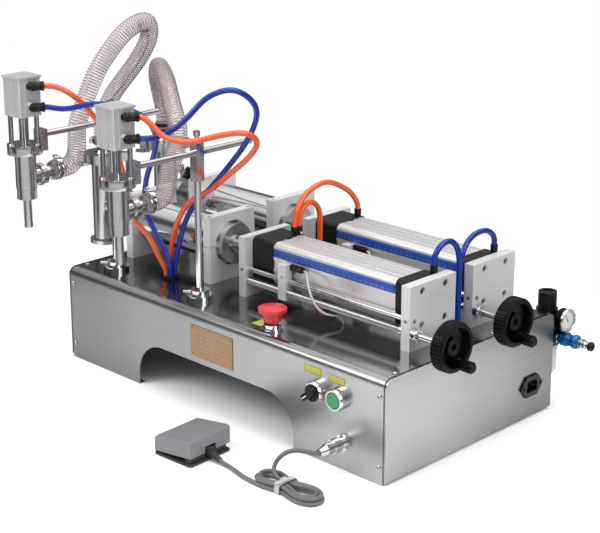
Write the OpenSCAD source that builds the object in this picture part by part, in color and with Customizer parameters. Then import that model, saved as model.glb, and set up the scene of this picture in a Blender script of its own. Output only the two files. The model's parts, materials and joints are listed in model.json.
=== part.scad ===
// Two-head piston filler for liquids, table-top, pneumatic.
// Origin: on the floor, under the centre of the cabinet. +X is the handwheel end, -Y the front.

/* [Cabinet] */
// Length of the cabinet, along the barrels
cab_l = 650; // [640:5:800]
// Depth of the cabinet, front to back
cab_w = 355; // [350:5:450]
// Height of the cabinet
cab_h = 145; // [135:1:200]
// Thickness of the stainless sheet
sheet_t = 1.5; // [1:0.1:3]
// Outer radius of the bends along the top
bend_r = 12; // [6:1:16]
// Length of the arch in the front and back
arch_l = 322; // [220:1:340]
// Height of the arch
arch_h = 70; // [50:1:75]
// Radius of the arch's upper corners
arch_r = 52; // [20:1:60]
// Width of the lip along the floor
lip_w = 10; // [6:1:20]
// Gap between the bent sheet and each end panel
end_gap = 3; // [1:0.5:5]
// Height of the end panels above the floor
end_lift = 4; // [2:0.5:8]
// Length of the end panels' inner flange
end_flange = 14; // [10:1:25]
// Clearance between sheets that fit in one another
sheet_fit = 0.3; // [0.2:0.05:0.6]

/* [Nameplate] */
// Length of the nameplate
name_l = 87; // [60:1:100]
// Height of the nameplate
name_h = 47; // [30:1:50]
// Thickness of the nameplate
name_t = 1; // [0.6:0.1:2]
// Height of the nameplate's centre
name_z = 102; // [100:1:106]

/* [Controls] */
// X of the emergency stop
estop_x = 93; // [85:1:120]
// Emergency stop's distance behind the front
estop_in = 28.5; // [25:0.5:38]
// Diameter of the emergency stop's head
estop_d = 40; // [34:1:44]
// Thickness of the head's disc
estop_disc_t = 8; // [6:0.5:10]
// Height of the skirt under the disc
estop_skirt_h = 14; // [12:0.5:18]
// Travel of the emergency stop
estop_travel = 4; // [3:0.5:5]
// Height of the emergency stop's collar
estop_collar_h = 13; // [11:0.5:16]
// X of the selector switch
selector_x = 207; // [200:1:212]
// X of the start button
button_x = 245; // [243:1:255]
// Height of the selector and the button
button_z = 98; // [94:1:100]
// Diameter of the bezels
bezel_d = 30; // [28:1:32]
// How far the bezels stand out from the front
bezel_t = 12; // [8:0.5:16]
// Diameter of the panel holes for switches
panel_hole_d = 22.5; // [20:0.1:24]
// Diameter of the start button's lens
lens_d = 23; // [20:0.5:24]
// Travel of the start button
button_travel = 3; // [2:0.5:4]
// Length of the selector's lever
lever_l = 26; // [22:1:28]

/* [Power inlet] */
// Y of the power inlet on the right end panel
inlet_y = 128; // [110:1:135]
// Height of the power inlet's centre
inlet_z = 49; // [40:1:70]
// Width of the inlet's flange
inlet_w = 50; // [46:1:54]
// Height of the inlet's flange
inlet_h = 31; // [28:1:34]
// Thickness of the inlet's flange
inlet_t = 3; // [2:0.5:4]

/* [Lines] */
// Y of the front line's axis
front_line_y = -36.5; // [-42:0.5:-34]
// Distance between the two lines' axes
line_pitch = 130; // [122:1:140]
// Height of the lines' axes above the top sheet
axis_rise = 56; // [52:1:66]

/* [Barrels] */
// X of the left face of the left barrel clamp
clamp_x = -302; // [-306:1:-298]
// Distance over the two barrel clamps
clamp_span = 195; // [190:1:200]
// Thickness of a barrel clamp
clamp_t = 15; // [12:0.5:20]
// Width of a barrel clamp
clamp_w = 90; // [86:1:100]
// Height of a barrel clamp above the axis
clamp_rise = 46; // [44:1:52]
// Gap between a clamp's halves
clamp_split = 1; // [0.6:0.1:2]
// Outer diameter of a barrel
barrel_od = 68; // [66:0.5:72]
// Bore of a barrel
barrel_id = 60; // [56:0.5:62]
// How far a barrel stands out of the left clamp
barrel_stub = 8; // [5:1:12]
// Diameter of the rod gland's disc
gland_d = 61; // [50:1:66]
// Thickness of the rod gland's disc
gland_t = 10; // [8:0.5:14]
// Depth of the spigots inside the barrel
spigot_l = 7; // [5:0.5:9]
// Diameter of the barrel's left cover
cover_d = 80; // [76:1:84]
// Thickness of the barrel's left cover
cover_t = 8; // [6:0.5:12]

/* [Pistons] */
// Diameter of the piston rods
rod_d = 16; // [12:0.5:20]
// Length of the product piston
piston_l = 28; // [20:1:30]
// Length of the air piston
air_piston_l = 30; // [20:1:34]
// Stroke of the pistons
stroke = 150; // [100:1:155]
// Radial clearance of pistons and shafts
run_gap = 0.05; // [0.02:0.01:0.1]

/* [Air cylinders] */
// X of the left face of the front mounting plate
air_x = -42; // [-46:0.5:-38]
// Thickness of the front mounting plate
front_plate_t = 12.5; // [10:0.5:16]
// Thickness of the rear mounting plate
rear_plate_t = 15; // [12:0.5:20]
// Width of the mounting plates
plate_w = 93; // [91:0.5:96]
// Height of the mounting plates above the axis
plate_rise = 33.5; // [33:0.5:40]
// Width of the end caps
cap_w = 65; // [62:0.5:66]
// Length of the front end cap
front_cap_l = 42; // [35:0.5:45]
// Length of the rear end cap
rear_cap_l = 24; // [20:0.5:30]
// Length of the aluminium profile
profile_l = 230.5; // [215:0.5:240]
// Width of the aluminium profile
profile_w = 63; // [60:0.5:64]
// Bore of the air cylinder
air_bore = 50; // [40:0.5:52]
// Distance between the tie-rod screws
tie_pitch = 47; // [45:0.5:49]
// Height of the scale strip
scale_h = 12; // [8:0.5:14]

/* [Stroke setting] */
// Diameter of the guide rods
guide_d = 8; // [6:0.5:9]
// Guide rod's distance in front of the axis
guide_off = 38.5; // [38:0.5:40]
// Guide rod's height below the axis
guide_drop = 15; // [13:0.5:17]
// Diameter of the lead screws
screw_d = 10; // [8:0.5:11]
// Lead screw's distance in front of the axis
screw_off = 40.5; // [39:0.5:41]
// Lead screw's height below the axis
screw_drop = 32; // [30:0.5:34]
// Width of the sensor slide
slide_w = 15; // [12:0.5:24]
// Depth of the sensor slide
slide_d = 13.5; // [12.5:0.5:15]
// Height of the sensor slide
slide_h = 52; // [46:1:56]
// X of the sensor slide's left side
slide_x = 37; // [20:1:60]
// Diameter of the handwheels
wheel_d = 68; // [60:1:72]
// Width of a handwheel's rim
wheel_t = 22; // [16:0.5:26]
// Free length of the screw before the wheel
wheel_gap = 52; // [44:1:60]
// Crank handle's axis from the wheel's centre
crank_r = 22; // [19:0.5:22]
// Diameter of the crank handle
crank_d = 16; // [12:0.5:17]
// Length of the crank handle
crank_l = 24; // [20:1:32]

/* [Check valves] */
// X of the check valves' axes
valve_x = -412; // [-420:1:-405]
// Diameter of the check valves' tubes
valve_d = 38; // [34:1:40]
// Height of the suction ports above the floor
suction_z = 137; // [125:1:140]
// Diameter of the ferrules
ferrule_d = 50.5; // [48:0.5:54]
// Thickness of a ferrule
ferrule_t = 6; // [5:0.5:8]
// Outer diameter of the ferrule clamps
ferrule_clamp_d = 63; // [60:0.5:66]
// Height of the valves' upper ferrule above the axis
valve_rise = 72; // [68:1:80]
// Length of the hose barbs above the valves
barb_l = 30; // [26:1:60]
// Diameter of the product passages
passage_d = 16; // [12:0.5:18]

/* [Filling heads] */
// X of the right post and head
right_x = -73.7; // [-78:0.1:-70]
// X of the left post and head
left_x = -264.5; // [-270:0.1:-258]
// Posts' distance behind the front
post_in = 44.5; // [40:0.5:50]
// Diameter of the posts
post_d = 10; // [8:0.5:11]
// Diameter of the posts' base collars
base_d = 39; // [34:1:44]
// Height of the posts' base collars
base_h = 14; // [10:0.5:20]
// Diameter of the arms
arm_d = 9; // [8:0.5:10]
// Length of the arms
arm_l = 220; // [200:1:240]
// Height of the right arm above the top sheet
arm_rise = 216; // [208:1:220]
// Extra height of the left arm
left_lift = 16; // [5:1:20]
// Y of the right arm's front end
right_arm_y = -250; // [-256:1:-246]
// Extra reach of the left arm
left_reach = 13; // [5:1:20]
// Width of the arm blocks
block_w = 14; // [13.5:0.5:18]
// Height of the arm blocks
block_h = 60; // [54:1:66]
// Head's axis from the arm's front end
head_reach = 26; // [24:0.5:30]
// Diameter of the heads' flange
flange_d = 50; // [44:0.5:56]
// Thickness of the heads' flange
flange_t = 14; // [10:0.5:18]
// Flange's centre below the arm
flange_drop = 15.5; // [13:0.5:18]
// Width of the heads' air cylinders
head_w = 38; // [34:0.5:42]
// Height of the heads' air cylinders
head_h = 54; // [48:1:60]
// Length of the standoffs
standoff_l = 41.5; // [36:0.5:50]
// Diameter of the nozzle bodies
nozzle_d = 30; // [28:0.5:34]
// Length of the nozzle bodies
nozzle_l = 51; // [46:0.5:60]
// Length of the collar under a nozzle body
collar_l = 15; // [12:0.5:20]
// Outer diameter of the nozzle tips
tip_d = 12; // [10:0.5:14]
// Bore of the nozzle tips
tip_bore = 8; // [6:0.5:8.5]
// Length of the nozzle tips
tip_l = 43; // [34:1:60]
// Diameter of the nozzle stems
stem_d = 10; // [8:0.5:11]
// Lift of the nozzle stems
stem_lift = 12; // [8:0.5:14]

/* [Hoses and tubes] */
// Outer diameter of the filling hoses
hose_d = 28; // [24:0.5:30]
// Outer diameter of the air tubes
tube_d = 8; // [6:0.5:8.5]
// Diameter of the sensor cables
cable_d = 3.5; // [2.5:0.1:4]

/* [Air treatment] */
// X of the regulator's axis
reg_x = 293; // [286:1:296]
// Regulator's axis behind the back sheet
reg_off = 27.5; // [26:0.5:34]
// Height of the regulator's body centre
reg_z = 107; // [100:1:112]
// Width of the regulator's body
reg_w = 40; // [36:1:44]
// Height of the regulator's body
reg_h = 44; // [40:1:50]
// Diameter of the regulator's knob
reg_knob_d = 27; // [24:1:32]
// Height of the regulator's knob
reg_knob_h = 25; // [20:1:28]
// Diameter of the filter bowl
bowl_d = 34; // [30:1:36]
// Length of the filter bowl
bowl_l = 48; // [40:1:56]
// Diameter of the pressure gauge
gauge_d = 33; // [28:1:34]
// Diameter of the air plug's nipple
plug_d = 12; // [10:0.5:14]

/* [Foot pedal] */
// X of the pedal's centre
pedal_x = 72; // [60:1:80]
// Y of the pedal's centre
pedal_y = -279; // [-290:1:-275]
// Turn of the pedal on the floor
pedal_turn = 3; // [0:1:10]
// Length of the pedal, toe to cord
pedal_l = 68; // [60:1:74]
// Width of the pedal
pedal_w = 74; // [66:1:84]
// Height of the treadle at the toe
toe_h = 29; // [26:0.5:31]
// Height of the treadle at the cord's end
heel_h = 37; // [34:0.5:40]
// Wall of the pedal
pedal_wall = 2.5; // [2:0.1:3]
// Diameter of the pedal's cord
cord_d = 6; // [5:0.5:7]

/* [Hidden] */
$fn = 48;

// Levels and faces that several pieces share
front_y = -cab_w / 2;
estop_y = front_y + estop_in;
post_y = front_y + post_in;
back_y = cab_w / 2;
end_x = cab_l / 2;
shell_l = cab_l - 2 * sheet_t - 2 * end_gap;
axis_z = cab_h + axis_rise;
line_ys = [front_line_y, front_line_y + line_pitch];
screw_head_d = 7;
screw_head_t = 2;
eps = 0.01;

// Barrel line, from left to right
barrel_left_x = clamp_x - barrel_stub;
barrel_right_x = clamp_x + clamp_span;
right_clamp_x = barrel_right_x - clamp_t;
chamber_x = barrel_left_x + spigot_l;
piston_x = chamber_x + 1;
bolt_off = (barrel_od / 2 + clamp_w / 2) / 2;
bolt_d = 5;
bolt_head_d = 7;
bolt_head_t = 5;

// Air cylinder line, from left to right
cap_x = air_x + front_plate_t;
profile_x = cap_x + front_cap_l;
rear_cap_x = profile_x + profile_l;
rear_plate_x = rear_cap_x + rear_cap_l;
line_end_x = rear_plate_x + rear_plate_t;
air_piston_x = profile_x + 2;
plate_front_off = 48;
guide_seat = 6;
tie_head_d = 9;
tie_head_t = 8;
tie_hole_d = 10;

// Sensor slide
slide_front_off = profile_w / 2 + 2.2 + slide_d;
slide_top = axis_z - screw_drop + 42;
sensor_l = 24;
sensor_w = 6;
sensor_h = 8;

// Handwheel
wheel_x = line_end_x + wheel_gap;
hub_d = 24;
wheel_web_t = 6;
crank_pin_d = 8;
rib_step = 9;

// Check valve and its pipe to the barrel
cover_x = barrel_left_x - cover_t;
valve_top_z = axis_z + valve_rise;
pipe_d = 25;
pipe_clamp_x = (valve_x + valve_d / 2 + cover_x) / 2;
clamp_ring_t = 15;
barb_d = 18;
barb_top_z = valve_top_z + 2 * ferrule_t + barb_l;

// Filling heads
arm_z = cab_h + arm_rise;
head_y = right_arm_y - head_reach;
flange_z = -flange_drop - flange_t / 2;
standoff_z = flange_z + flange_t;
head_cyl_z = standoff_z + standoff_l;
collar_z = flange_z - nozzle_l;
tip_z = collar_z - collar_l;
standoff_off = 13;
standoff_d = 7;
head_bore = 25;
inlet_drop = 44;
inlet_tilt = 4;
inlet_len = 66;
seat_gap = 0.3;

// Pedal
pedal_floor_t = 3;
pedal_gap = 0.8;
hinge_z = 9;
hinge_d = 4;
hinge_x = -pedal_l / 2 + 8;

// Small features
panel_screw_low = 24;
panel_screw_in = 6;
top_screw_ys = [-150, 50];
estop_stem_d = 12;
estop_flange_t = 3;
switch_depth = 20;
switch_nut_t = 5;
switch_stem_d = 10;
lens_depth = 7;
inlet_body_w = 28;
inlet_body_h = 22;
inlet_body_l = 18;
recess_l = 15;
plug_x = 251;
plug_z = 38;
plug_hole_d = 14;
plug_l = 44;
hank_x = 245;
hank_y = -271;
hank_l = 118;
hank_w = 50;
hank_h = 12;
heel_skirt_z = 12;
heel_slot_z = 21;
relief_l = 9;
relief_d = 10;
relief_z = 8.5;
scale_top = 8;
scale_depth = 0.8;
sensor_y = -profile_w / 2 - 1.2 - sensor_w;
crank_turn = 10;
post_gap = 22;
block_rise = 19;
knob_z = -34;
knob_screw_d = 5;
knob_slack = 2.8;
elbow_off = 5;
elbow_l = 15;
elbow_turn = 60;
elbow_low = 14;
elbow_high = head_h - 10;
reg_port_z = -9;
reg_screw_d = 8;
gauge_z = 19;
port_off = 24;
port_h = 12;
port_sink = 1.5;
port_xs = [profile_x - 8.5, rear_plate_x - 6];
port_top_z = axis_z + cap_w / 2 - port_sink + port_h;
twin = 4.5;
grommet_h = 4;
grommet = [-174, -102];
feed_holes = [[4, 36], [270, 30], [262, 40]];

// Where hoses and tubes leave their fittings
function barb_out(left, out = 0) = [
    left ? left_x : right_x,
    head_y - (left ? left_reach : 0) + (inlet_len + seat_gap + out) * cos(inlet_tilt),
    arm_z + (left ? left_lift : 0) - inlet_drop - flange_drop
        + (inlet_len + seat_gap + out) * sin(inlet_tilt)];
function valve_out(i, up = 0) = [valve_x, line_ys[i], barb_top_z + seat_gap + up];
function elbow_out(left, z, out = 0) = [
    (left ? left_x : right_x) + head_w / 2 + elbow_off + (elbow_l + out) * cos(elbow_turn),
    head_y - (left ? left_reach : 0) + (elbow_l + out) * sin(elbow_turn),
    arm_z + (left ? left_lift : 0) + head_cyl_z + z];
function port_out(i, x, y = 0, up = 0) = [x, line_ys[i] + port_off + y, port_top_z + seat_gap + up];
function sheet_out(p, up = 0) = [p.x, p.y, cab_h + grommet_h + up];

// Hand-chosen routes; those of the hoses and air tubes count up from the top sheet
function above(q) = [for (p = q) p + [0, 0, cab_h]];
lead_route = [
    [plug_x, front_y - plug_l - seat_gap, plug_z], [251, -228, 39], [247, -235, 42], [238, -241, 43.5],
    [228, -246, 42], [220, -251, 37], [215, -255, 29], [214, -256, 20], [214, -256, hank_h]
];
tail_route = [
    [110.95, -276.96, 8.5], [117, -276.64, 8.2], [124, -277.5, 6], [132, -279, 3.6],
    [141, -279, 3.2], [152, -276, 3.2], [164, -273, 3.2], [174, -271.5, 3.2], [187, -271, 3.2]
];
cable_route = [
    for (x = [seat_gap, 3])
        [slide_x + slide_w + sensor_l + x, sensor_y + sensor_w / 2, slide_top - axis_z - sensor_h / 2],
    [84, -38, 5], [94, -46, -2], [104, -52, -13], [114, -54, -26], [124, -52, -38],
    [134, -44, -45], [141, -36, -48.5], [146, -28, -52], [146, -28, -55.5]
];
left_hose_route = [
    barb_out(true), barb_out(true, 3), barb_out(true, 7),
    each above([
        [-265, -208, 180], [-267, -201, 186], [-270, -195, 194], [-275, -190, 204],
        [-281, -185, 216], [-287, -178, 231], [-289, -160, 266], [-286, -136, 309],
        [-280, -100, 350], [-276, -74, 367], [-277, -51, 369], [-286, -37, 354], [-301, -30, 332],
        [-324, -28, 305], [-354, -28, 275], [-386, -31, 241], [-405, -35, 209]
    ]),
    valve_out(0, 16), valve_out(0, 5), valve_out(0)
];
right_hose_route = [
    barb_out(false), barb_out(false, 3), barb_out(false, 7),
    each above([
        [-75, -195, 164], [-79, -188, 169], [-84, -181, 176], [-89, -174, 185], [-95, -165, 197],
        [-100, -152, 212], [-106, -140, 229], [-118, -130, 249], [-144, -117, 271],
        [-190, -88, 296], [-247, -52, 304], [-302, -10, 286], [-345, 26, 259], [-380, 60, 227],
        [-403, 84, 200]
    ]),
    valve_out(1, 14), valve_out(1, 5), valve_out(1)
];
right_orange_route = [
    elbow_out(false, elbow_high), elbow_out(false, elbow_high, 5),
    each above([
        [-30, -253, 285], [-20, -246, 272], [-12, -236, 263], [1, -206, 257], [19, -170, 263],
        [34, -147, 268], [37, -136, 261], [28, -126, 245], [-26, -114, 192], [-74, -108, 157],
        [-111, -104, 137], [-143, -99, 113], [-170, -96, 73], [-181, -94, 37]
    ]),
    sheet_out(grommet + [-twin, twin], 8), sheet_out(grommet + [-twin, twin])
];
right_blue_route = [
    elbow_out(false, elbow_low), elbow_out(false, elbow_low, 5),
    each above([
        [-36, -247, 262], [-31, -234, 264], [-22, -219, 272], [-9, -205, 288], [4, -180, 316],
        [18, -150, 322], [26, -128, 305], [24, -116, 285], [7, -108, 255], [-24, -100, 217],
        [-84, -92, 161], [-130, -86, 123], [-154, -86, 91], [-167, -92, 45]
    ]),
    sheet_out(grommet + [twin, twin], 8), sheet_out(grommet + [twin, twin])
];
left_orange_route = [
    elbow_out(true, elbow_high), elbow_out(true, elbow_high, 5),
    each above([
        [-222, -258, 306], [-212, -240, 293], [-206, -218, 269], [-198, -186, 219],
        [-206, -158, 159], [-218, -137, 95], [-206, -116, 61], [-190, -109, 29]
    ]),
    sheet_out(grommet + [-twin, -twin], 8), sheet_out(grommet + [-twin, -twin])
];
left_blue_route = [
    elbow_out(true, elbow_low), elbow_out(true, elbow_low, 5),
    each above([
        [-212, -254, 276], [-184, -226, 283], [-154, -200, 279], [-134, -176, 263],
        [-130, -160, 236], [-150, -148, 201], [-186, -134, 155], [-205, -121, 101],
        [-190, -110, 61], [-170, -107, 29]
    ]),
    sheet_out(grommet + [twin, -twin], 8), sheet_out(grommet + [twin, -twin])
];
orange_loop_route = [
    port_out(0, port_xs[0], -twin),
    each above([
        [4, -16, 111], [4, -9, 127], [4, 11, 146], [4, 50, 153], [4, 92, 134], [4, 112, 115]
    ]),
    port_out(1, port_xs[0], 0, 4), port_out(1, port_xs[0])
];
orange_feed_route = [
    port_out(0, port_xs[0], twin),
    each above([
        [4, -7, 109], [4, 2, 122], [4, 16, 129], [4, 30, 121], [4, 36, 105]
    ]),
    sheet_out(feed_holes[0])
];
front_blue_route = [
    port_out(0, port_xs[1]),
    each above([
        [261, -11, 112], [263, 1, 124], [266, 17, 126], [269, 28, 115], [270, 30, 97]
    ]),
    sheet_out(feed_holes[1])
];
rear_blue_route = [
    port_out(1, port_xs[1]),
    each above([
        [261, 116, 111], [260, 104, 121], [260, 84, 124], [260, 64, 118], [261, 48, 105],
        [262, 41, 91]
    ]),
    sheet_out(feed_holes[2])
];

// Colours
steel = "silver";
alu = "gainsboro";
black = "dimgray";

// Plan and section shapes

module rounded_square(w, h, r) {
    square([w - 2 * r, h], center = true);
    square([w, h - 2 * r], center = true);
    for (x = [-1, 1], y = [-1, 1])
        translate([x * (w / 2 - r), y * (h / 2 - r)])
            circle(r);
}

// Upright sheet outline with two round upper corners, standing on the floor line
module arch_outline(w, h, r) {
    translate([-w / 2, 0])
        square([w, h - r]);
    translate([-w / 2 + r, 0])
        square([w - 2 * r, h]);
    for (s = [-1, 1])
        translate([s * (w / 2 - r), h - r])
            circle(r);
}

// Extrudes a (y, z) outline along +X from x
module along_x(x, l) {
    translate([x, 0, 0])
        rotate([90, 0, 90])
            linear_extrude(l)
                children();
}

module rod_x(x, l, d) {
    translate([x, 0, 0])
        rotate([0, 90, 0])
            cylinder(d = d, h = l);
}

module rod_y(y, l, d) {
    translate([0, y, 0])
        rotate([-90, 0, 0])
            cylinder(d = d, h = l);
}

module at_lines() {
    for (y = line_ys)
        translate([0, y, axis_z])
            children();
}

module at_line(i) {
    translate([0, line_ys[i], axis_z])
        children();
}

module at_ties(x) {
    for (y = [-1, 1], z = [-1, 1])
        translate([x, y * tie_pitch / 2, z * tie_pitch / 2])
            children();
}

module on_guide() {
    translate([0, -guide_off, -guide_drop])
        children();
}

module on_screw() {
    translate([0, -screw_off, -screw_drop])
        children();
}

// Routes: a curve through hand-chosen points, and a tube swept along it

function unit(v) = v / norm(v);
function curve_at(a, b, c, d, t) =
    0.5 * (2 * b + (c - a) * t + (2 * a - 5 * b + 4 * c - d) * t * t
        + (3 * b - a - 3 * c + d) * t * t * t);
function curve(p, steps) = concat(
    [for (i = [0 : len(p) - 2], k = [0 : steps - 1])
        curve_at(
            i == 0 ? 2 * p[0] - p[1] : p[i - 1], p[i], p[i + 1],
            i == len(p) - 2 ? 2 * p[i + 1] - p[i] : p[i + 2], k / steps)],
    [p[len(p) - 1]]);
function tangents(q) = [for (i = [0 : len(q) - 1])
    unit(q[min(i + 1, len(q) - 1)] - q[max(i - 1, 0)])];
function across(n, t) = unit(n - (n * t) * t);
function carried(t, n, i = 0) =
    i == len(t) ? [] : concat([across(n, t[i])], carried(t, across(n, t[i]), i + 1));

module tube(points, d, steps = 1, sides = 8) {
    q = curve(points, steps);
    t = tangents(q);
    n = carried(t, abs(t[0].z) > 0.9 ? [1, 0, 0] : [0, 0, 1]);
    rings = len(q);
    verts = [for (i = [0 : rings - 1], k = [0 : sides - 1])
        q[i] + d / 2 * (cos(k * 360 / sides) * n[i] + sin(k * 360 / sides) * cross(t[i], n[i]))];
    walls = [for (i = [0 : rings - 2], k = [0 : sides - 1])
        [i * sides + k, i * sides + (k + 1) % sides,
            (i + 1) * sides + (k + 1) % sides, (i + 1) * sides + k]];
    first_end = [for (k = [sides - 1 : -1 : 0]) k];
    last_end = [for (k = [0 : sides - 1]) (rings - 1) * sides + k];
    polyhedron(verts, concat([first_end], walls, [last_end]), convexity = 8);
}

// Cabinet

module cabinet_shell() {
    color(steel)
        difference() {
            union() {
                along_x(-shell_l / 2, shell_l)
                    difference() {
                        arch_outline(cab_w, cab_h, bend_r);
                        translate([0, -eps])
                            arch_outline(cab_w - 2 * sheet_t, cab_h - sheet_t + eps,
                                bend_r - sheet_t);
                    }
                for (s = [-1, 1])
                    translate([-shell_l / 2, s * (back_y - lip_w / 2) - lip_w / 2, 0])
                        cube([shell_l, lip_w, sheet_t]);
            }
            translate([0, back_y + eps, 0])
                rotate([90, 0, 0])
                    linear_extrude(cab_w + 2 * eps)
                        translate([0, -2 * eps])
                            arch_outline(arch_l, arch_h + 2 * eps, arch_r);
            translate([estop_x, estop_y, cab_h - 2 * sheet_t])
                cylinder(d = panel_hole_d, h = 3 * sheet_t);
            for (x = [selector_x, button_x])
                translate([x, 0, button_z])
                    rod_y(front_y - sheet_t, 3 * sheet_t, panel_hole_d);
            translate([plug_x, 0, plug_z])
                rod_y(front_y - sheet_t, 3 * sheet_t, plug_hole_d);
        }
}

module end_panel() {
    difference() {
        union() {
            along_x(end_x - sheet_t, sheet_t)
                arch_outline(cab_w, cab_h, bend_r);
            along_x(end_x - sheet_t - end_flange, end_flange + eps)
                difference() {
                    arch_outline(cab_w - 2 * (sheet_t + sheet_fit), cab_h - sheet_t - sheet_fit,
                        bend_r - sheet_t);
                    translate([0, -eps])
                        arch_outline(cab_w - 2 * (2 * sheet_t + sheet_fit),
                            cab_h - 2 * sheet_t - sheet_fit + eps, bend_r - 2 * sheet_t);
                }
        }
        translate([end_x - 2 * end_flange, -cab_w, -eps])
            cube([3 * end_flange, 2 * cab_w, end_lift]);
    }
}

module end_panels() {
    color(steel) {
        difference() {
            end_panel();
            translate([end_x - 2 * sheet_t, inlet_y - inlet_body_w / 2 - sheet_fit,
                inlet_z - inlet_body_h / 2 - sheet_fit])
                cube([3 * sheet_t, inlet_body_w + 2 * sheet_fit, inlet_body_h + 2 * sheet_fit]);
        }
        mirror([1, 0, 0])
            end_panel();
    }
}

// One pan-head screw with a cross recess, its head on z = 0
module pan_screw() {
    difference() {
        union() {
            cylinder(d = screw_head_d, h = screw_head_t * 0.5);
            translate([0, 0, screw_head_t * 0.5])
                cylinder(d1 = screw_head_d, d2 = screw_head_d * 0.6, h = screw_head_t * 0.5);
        }
        for (a = [0, 90])
            rotate([0, 0, a])
                translate([-screw_head_d * 0.25, -0.5, screw_head_t * 0.4])
                    cube([screw_head_d * 0.5, 1, screw_head_t]);
    }
}

// One socket-head screw, its head standing on z = 0
module socket_screw(head_d, head_t) {
    difference() {
        cylinder(d = head_d, h = head_t);
        translate([0, 0, head_t / 2])
            cylinder(d = head_d * 0.55, h = head_t, $fn = 6);
    }
}

module machine_screws() {
    color(steel) {
        for (s = [-1, 1], z = [panel_screw_low, cab_h - panel_screw_low], side = [-1, 1])
            translate([s * (shell_l / 2 - panel_screw_in), side * back_y, z])
                rotate([side * -90, 0, 0])
                    pan_screw();
        for (s = [-1, 1], y = top_screw_ys)
            translate([s * (shell_l / 2 - panel_screw_in), y, cab_h])
                pan_screw();
        at_lines() {
            for (x = [clamp_x, right_clamp_x], s = [-1, 1])
                translate([x + clamp_t / 2, s * bolt_off, clamp_rise - bolt_head_t - 1])
                    socket_screw(bolt_head_d, bolt_head_t);
            at_ties(line_end_x - tie_head_t - 1)
                rotate([0, 90, 0])
                    socket_screw(tie_head_d, tie_head_t);
            at_ties(air_x + tie_head_t + 1)
                rotate([0, -90, 0])
                    socket_screw(tie_head_d, tie_head_t);
        }
    }
}

module nameplate() {
    color("goldenrod")
        translate([0, front_y, name_z])
            rotate([90, 0, 0]) {
                linear_extrude(name_t)
                    rounded_square(name_l, name_h, 2);
                for (x = [-1, 1], y = [-1, 1])
                    translate([x * (name_l / 2 - 4), y * (name_h / 2 - 4), 0])
                        cylinder(d = 3.5, h = name_t + 0.8);
            }
}

// Controls

module estop_base() {
    color(steel)
        translate([estop_x, estop_y, cab_h])
            difference() {
                union() {
                    cylinder(d = estop_d * 0.72, h = estop_flange_t);
                    cylinder(d = estop_d * 0.6, h = estop_collar_h - estop_travel - sheet_fit);
                    translate([0, 0, -switch_depth])
                        cylinder(d = panel_hole_d - 2 * sheet_fit, h = switch_depth + eps);
                    translate([0, 0, -sheet_t - switch_nut_t])
                        cylinder(d = estop_d * 0.7, h = switch_nut_t, $fn = 6);
                }
                translate([0, 0, -estop_travel - 2])
                    cylinder(d = estop_stem_d + 2 * run_gap, h = 2 * switch_depth);
            }
}

module estop_button() {
    color("crimson")
        translate([estop_x, estop_y, cab_h]) {
            translate([0, 0, estop_collar_h])
                cylinder(d1 = estop_d * 0.62, d2 = estop_d * 0.76, h = estop_skirt_h + eps);
            translate([0, 0, estop_collar_h + estop_skirt_h])
                rotate_extrude()
                    intersection() {
                        square([estop_d / 2, estop_disc_t]);
                        translate([0, -estop_d * 1.5 + estop_disc_t])
                            circle(r = estop_d * 1.5, $fn = 180);
                    }
            translate([0, 0, -1])
                cylinder(d = estop_stem_d, h = estop_collar_h + 2);
        }
}

module bezel() {
    rotate([90, 0, 0])
        difference() {
            union() {
                cylinder(d = bezel_d, h = bezel_t - 3);
                translate([0, 0, bezel_t - 3])
                    cylinder(d1 = bezel_d, d2 = bezel_d - 3, h = 3);
                translate([0, 0, -switch_depth])
                    cylinder(d = panel_hole_d - 2 * sheet_fit, h = switch_depth + eps);
                translate([0, 0, -sheet_t - switch_nut_t])
                    cylinder(d = bezel_d, h = switch_nut_t, $fn = 6);
            }
            translate([0, 0, bezel_t - lens_depth])
                cylinder(d = lens_d + 2 * sheet_fit, h = lens_depth + 1);
            translate([0, 0, -switch_depth / 2])
                cylinder(d = switch_stem_d + 2 * run_gap, h = 2 * switch_depth);
        }
}

module button_bezels() {
    color(steel)
        for (x = [selector_x, button_x])
            translate([x, front_y, button_z])
                bezel();
}

module start_button() {
    color("green")
        translate([button_x, front_y, button_z])
            rotate([90, 0, 0]) {
                translate([0, 0, bezel_t - lens_depth + button_travel + sheet_fit])
                    cylinder(d = lens_d, h = lens_depth - button_travel - 1);
                translate([0, 0, bezel_t - sheet_fit - 1.2])
                    cylinder(d1 = lens_d, d2 = lens_d - 4, h = 2.5);
                translate([0, 0, -6])
                    cylinder(d = switch_stem_d, h = bezel_t + 4);
            }
}

module selector_knob() {
    color(black)
        translate([selector_x, front_y, button_z])
            rotate([90, 0, 0]) {
                translate([0, 0, bezel_t - lens_depth + sheet_fit])
                    cylinder(d = lens_d, h = lens_depth + 1);
                translate([0, 0, -6])
                    cylinder(d = switch_stem_d, h = bezel_t);
                rotate([0, 0, -140])
                    translate([2, 0, bezel_t + 0.6])
                        linear_extrude(7.4)
                            union() {
                                square([lever_l - 9, 9], center = true);
                                translate([lever_l / 2 - 4.5, 0])
                                    circle(4.5);
                                translate([-lever_l / 2 + 4.5, 0])
                                    circle(4.5);
                            }
            }
}

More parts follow.
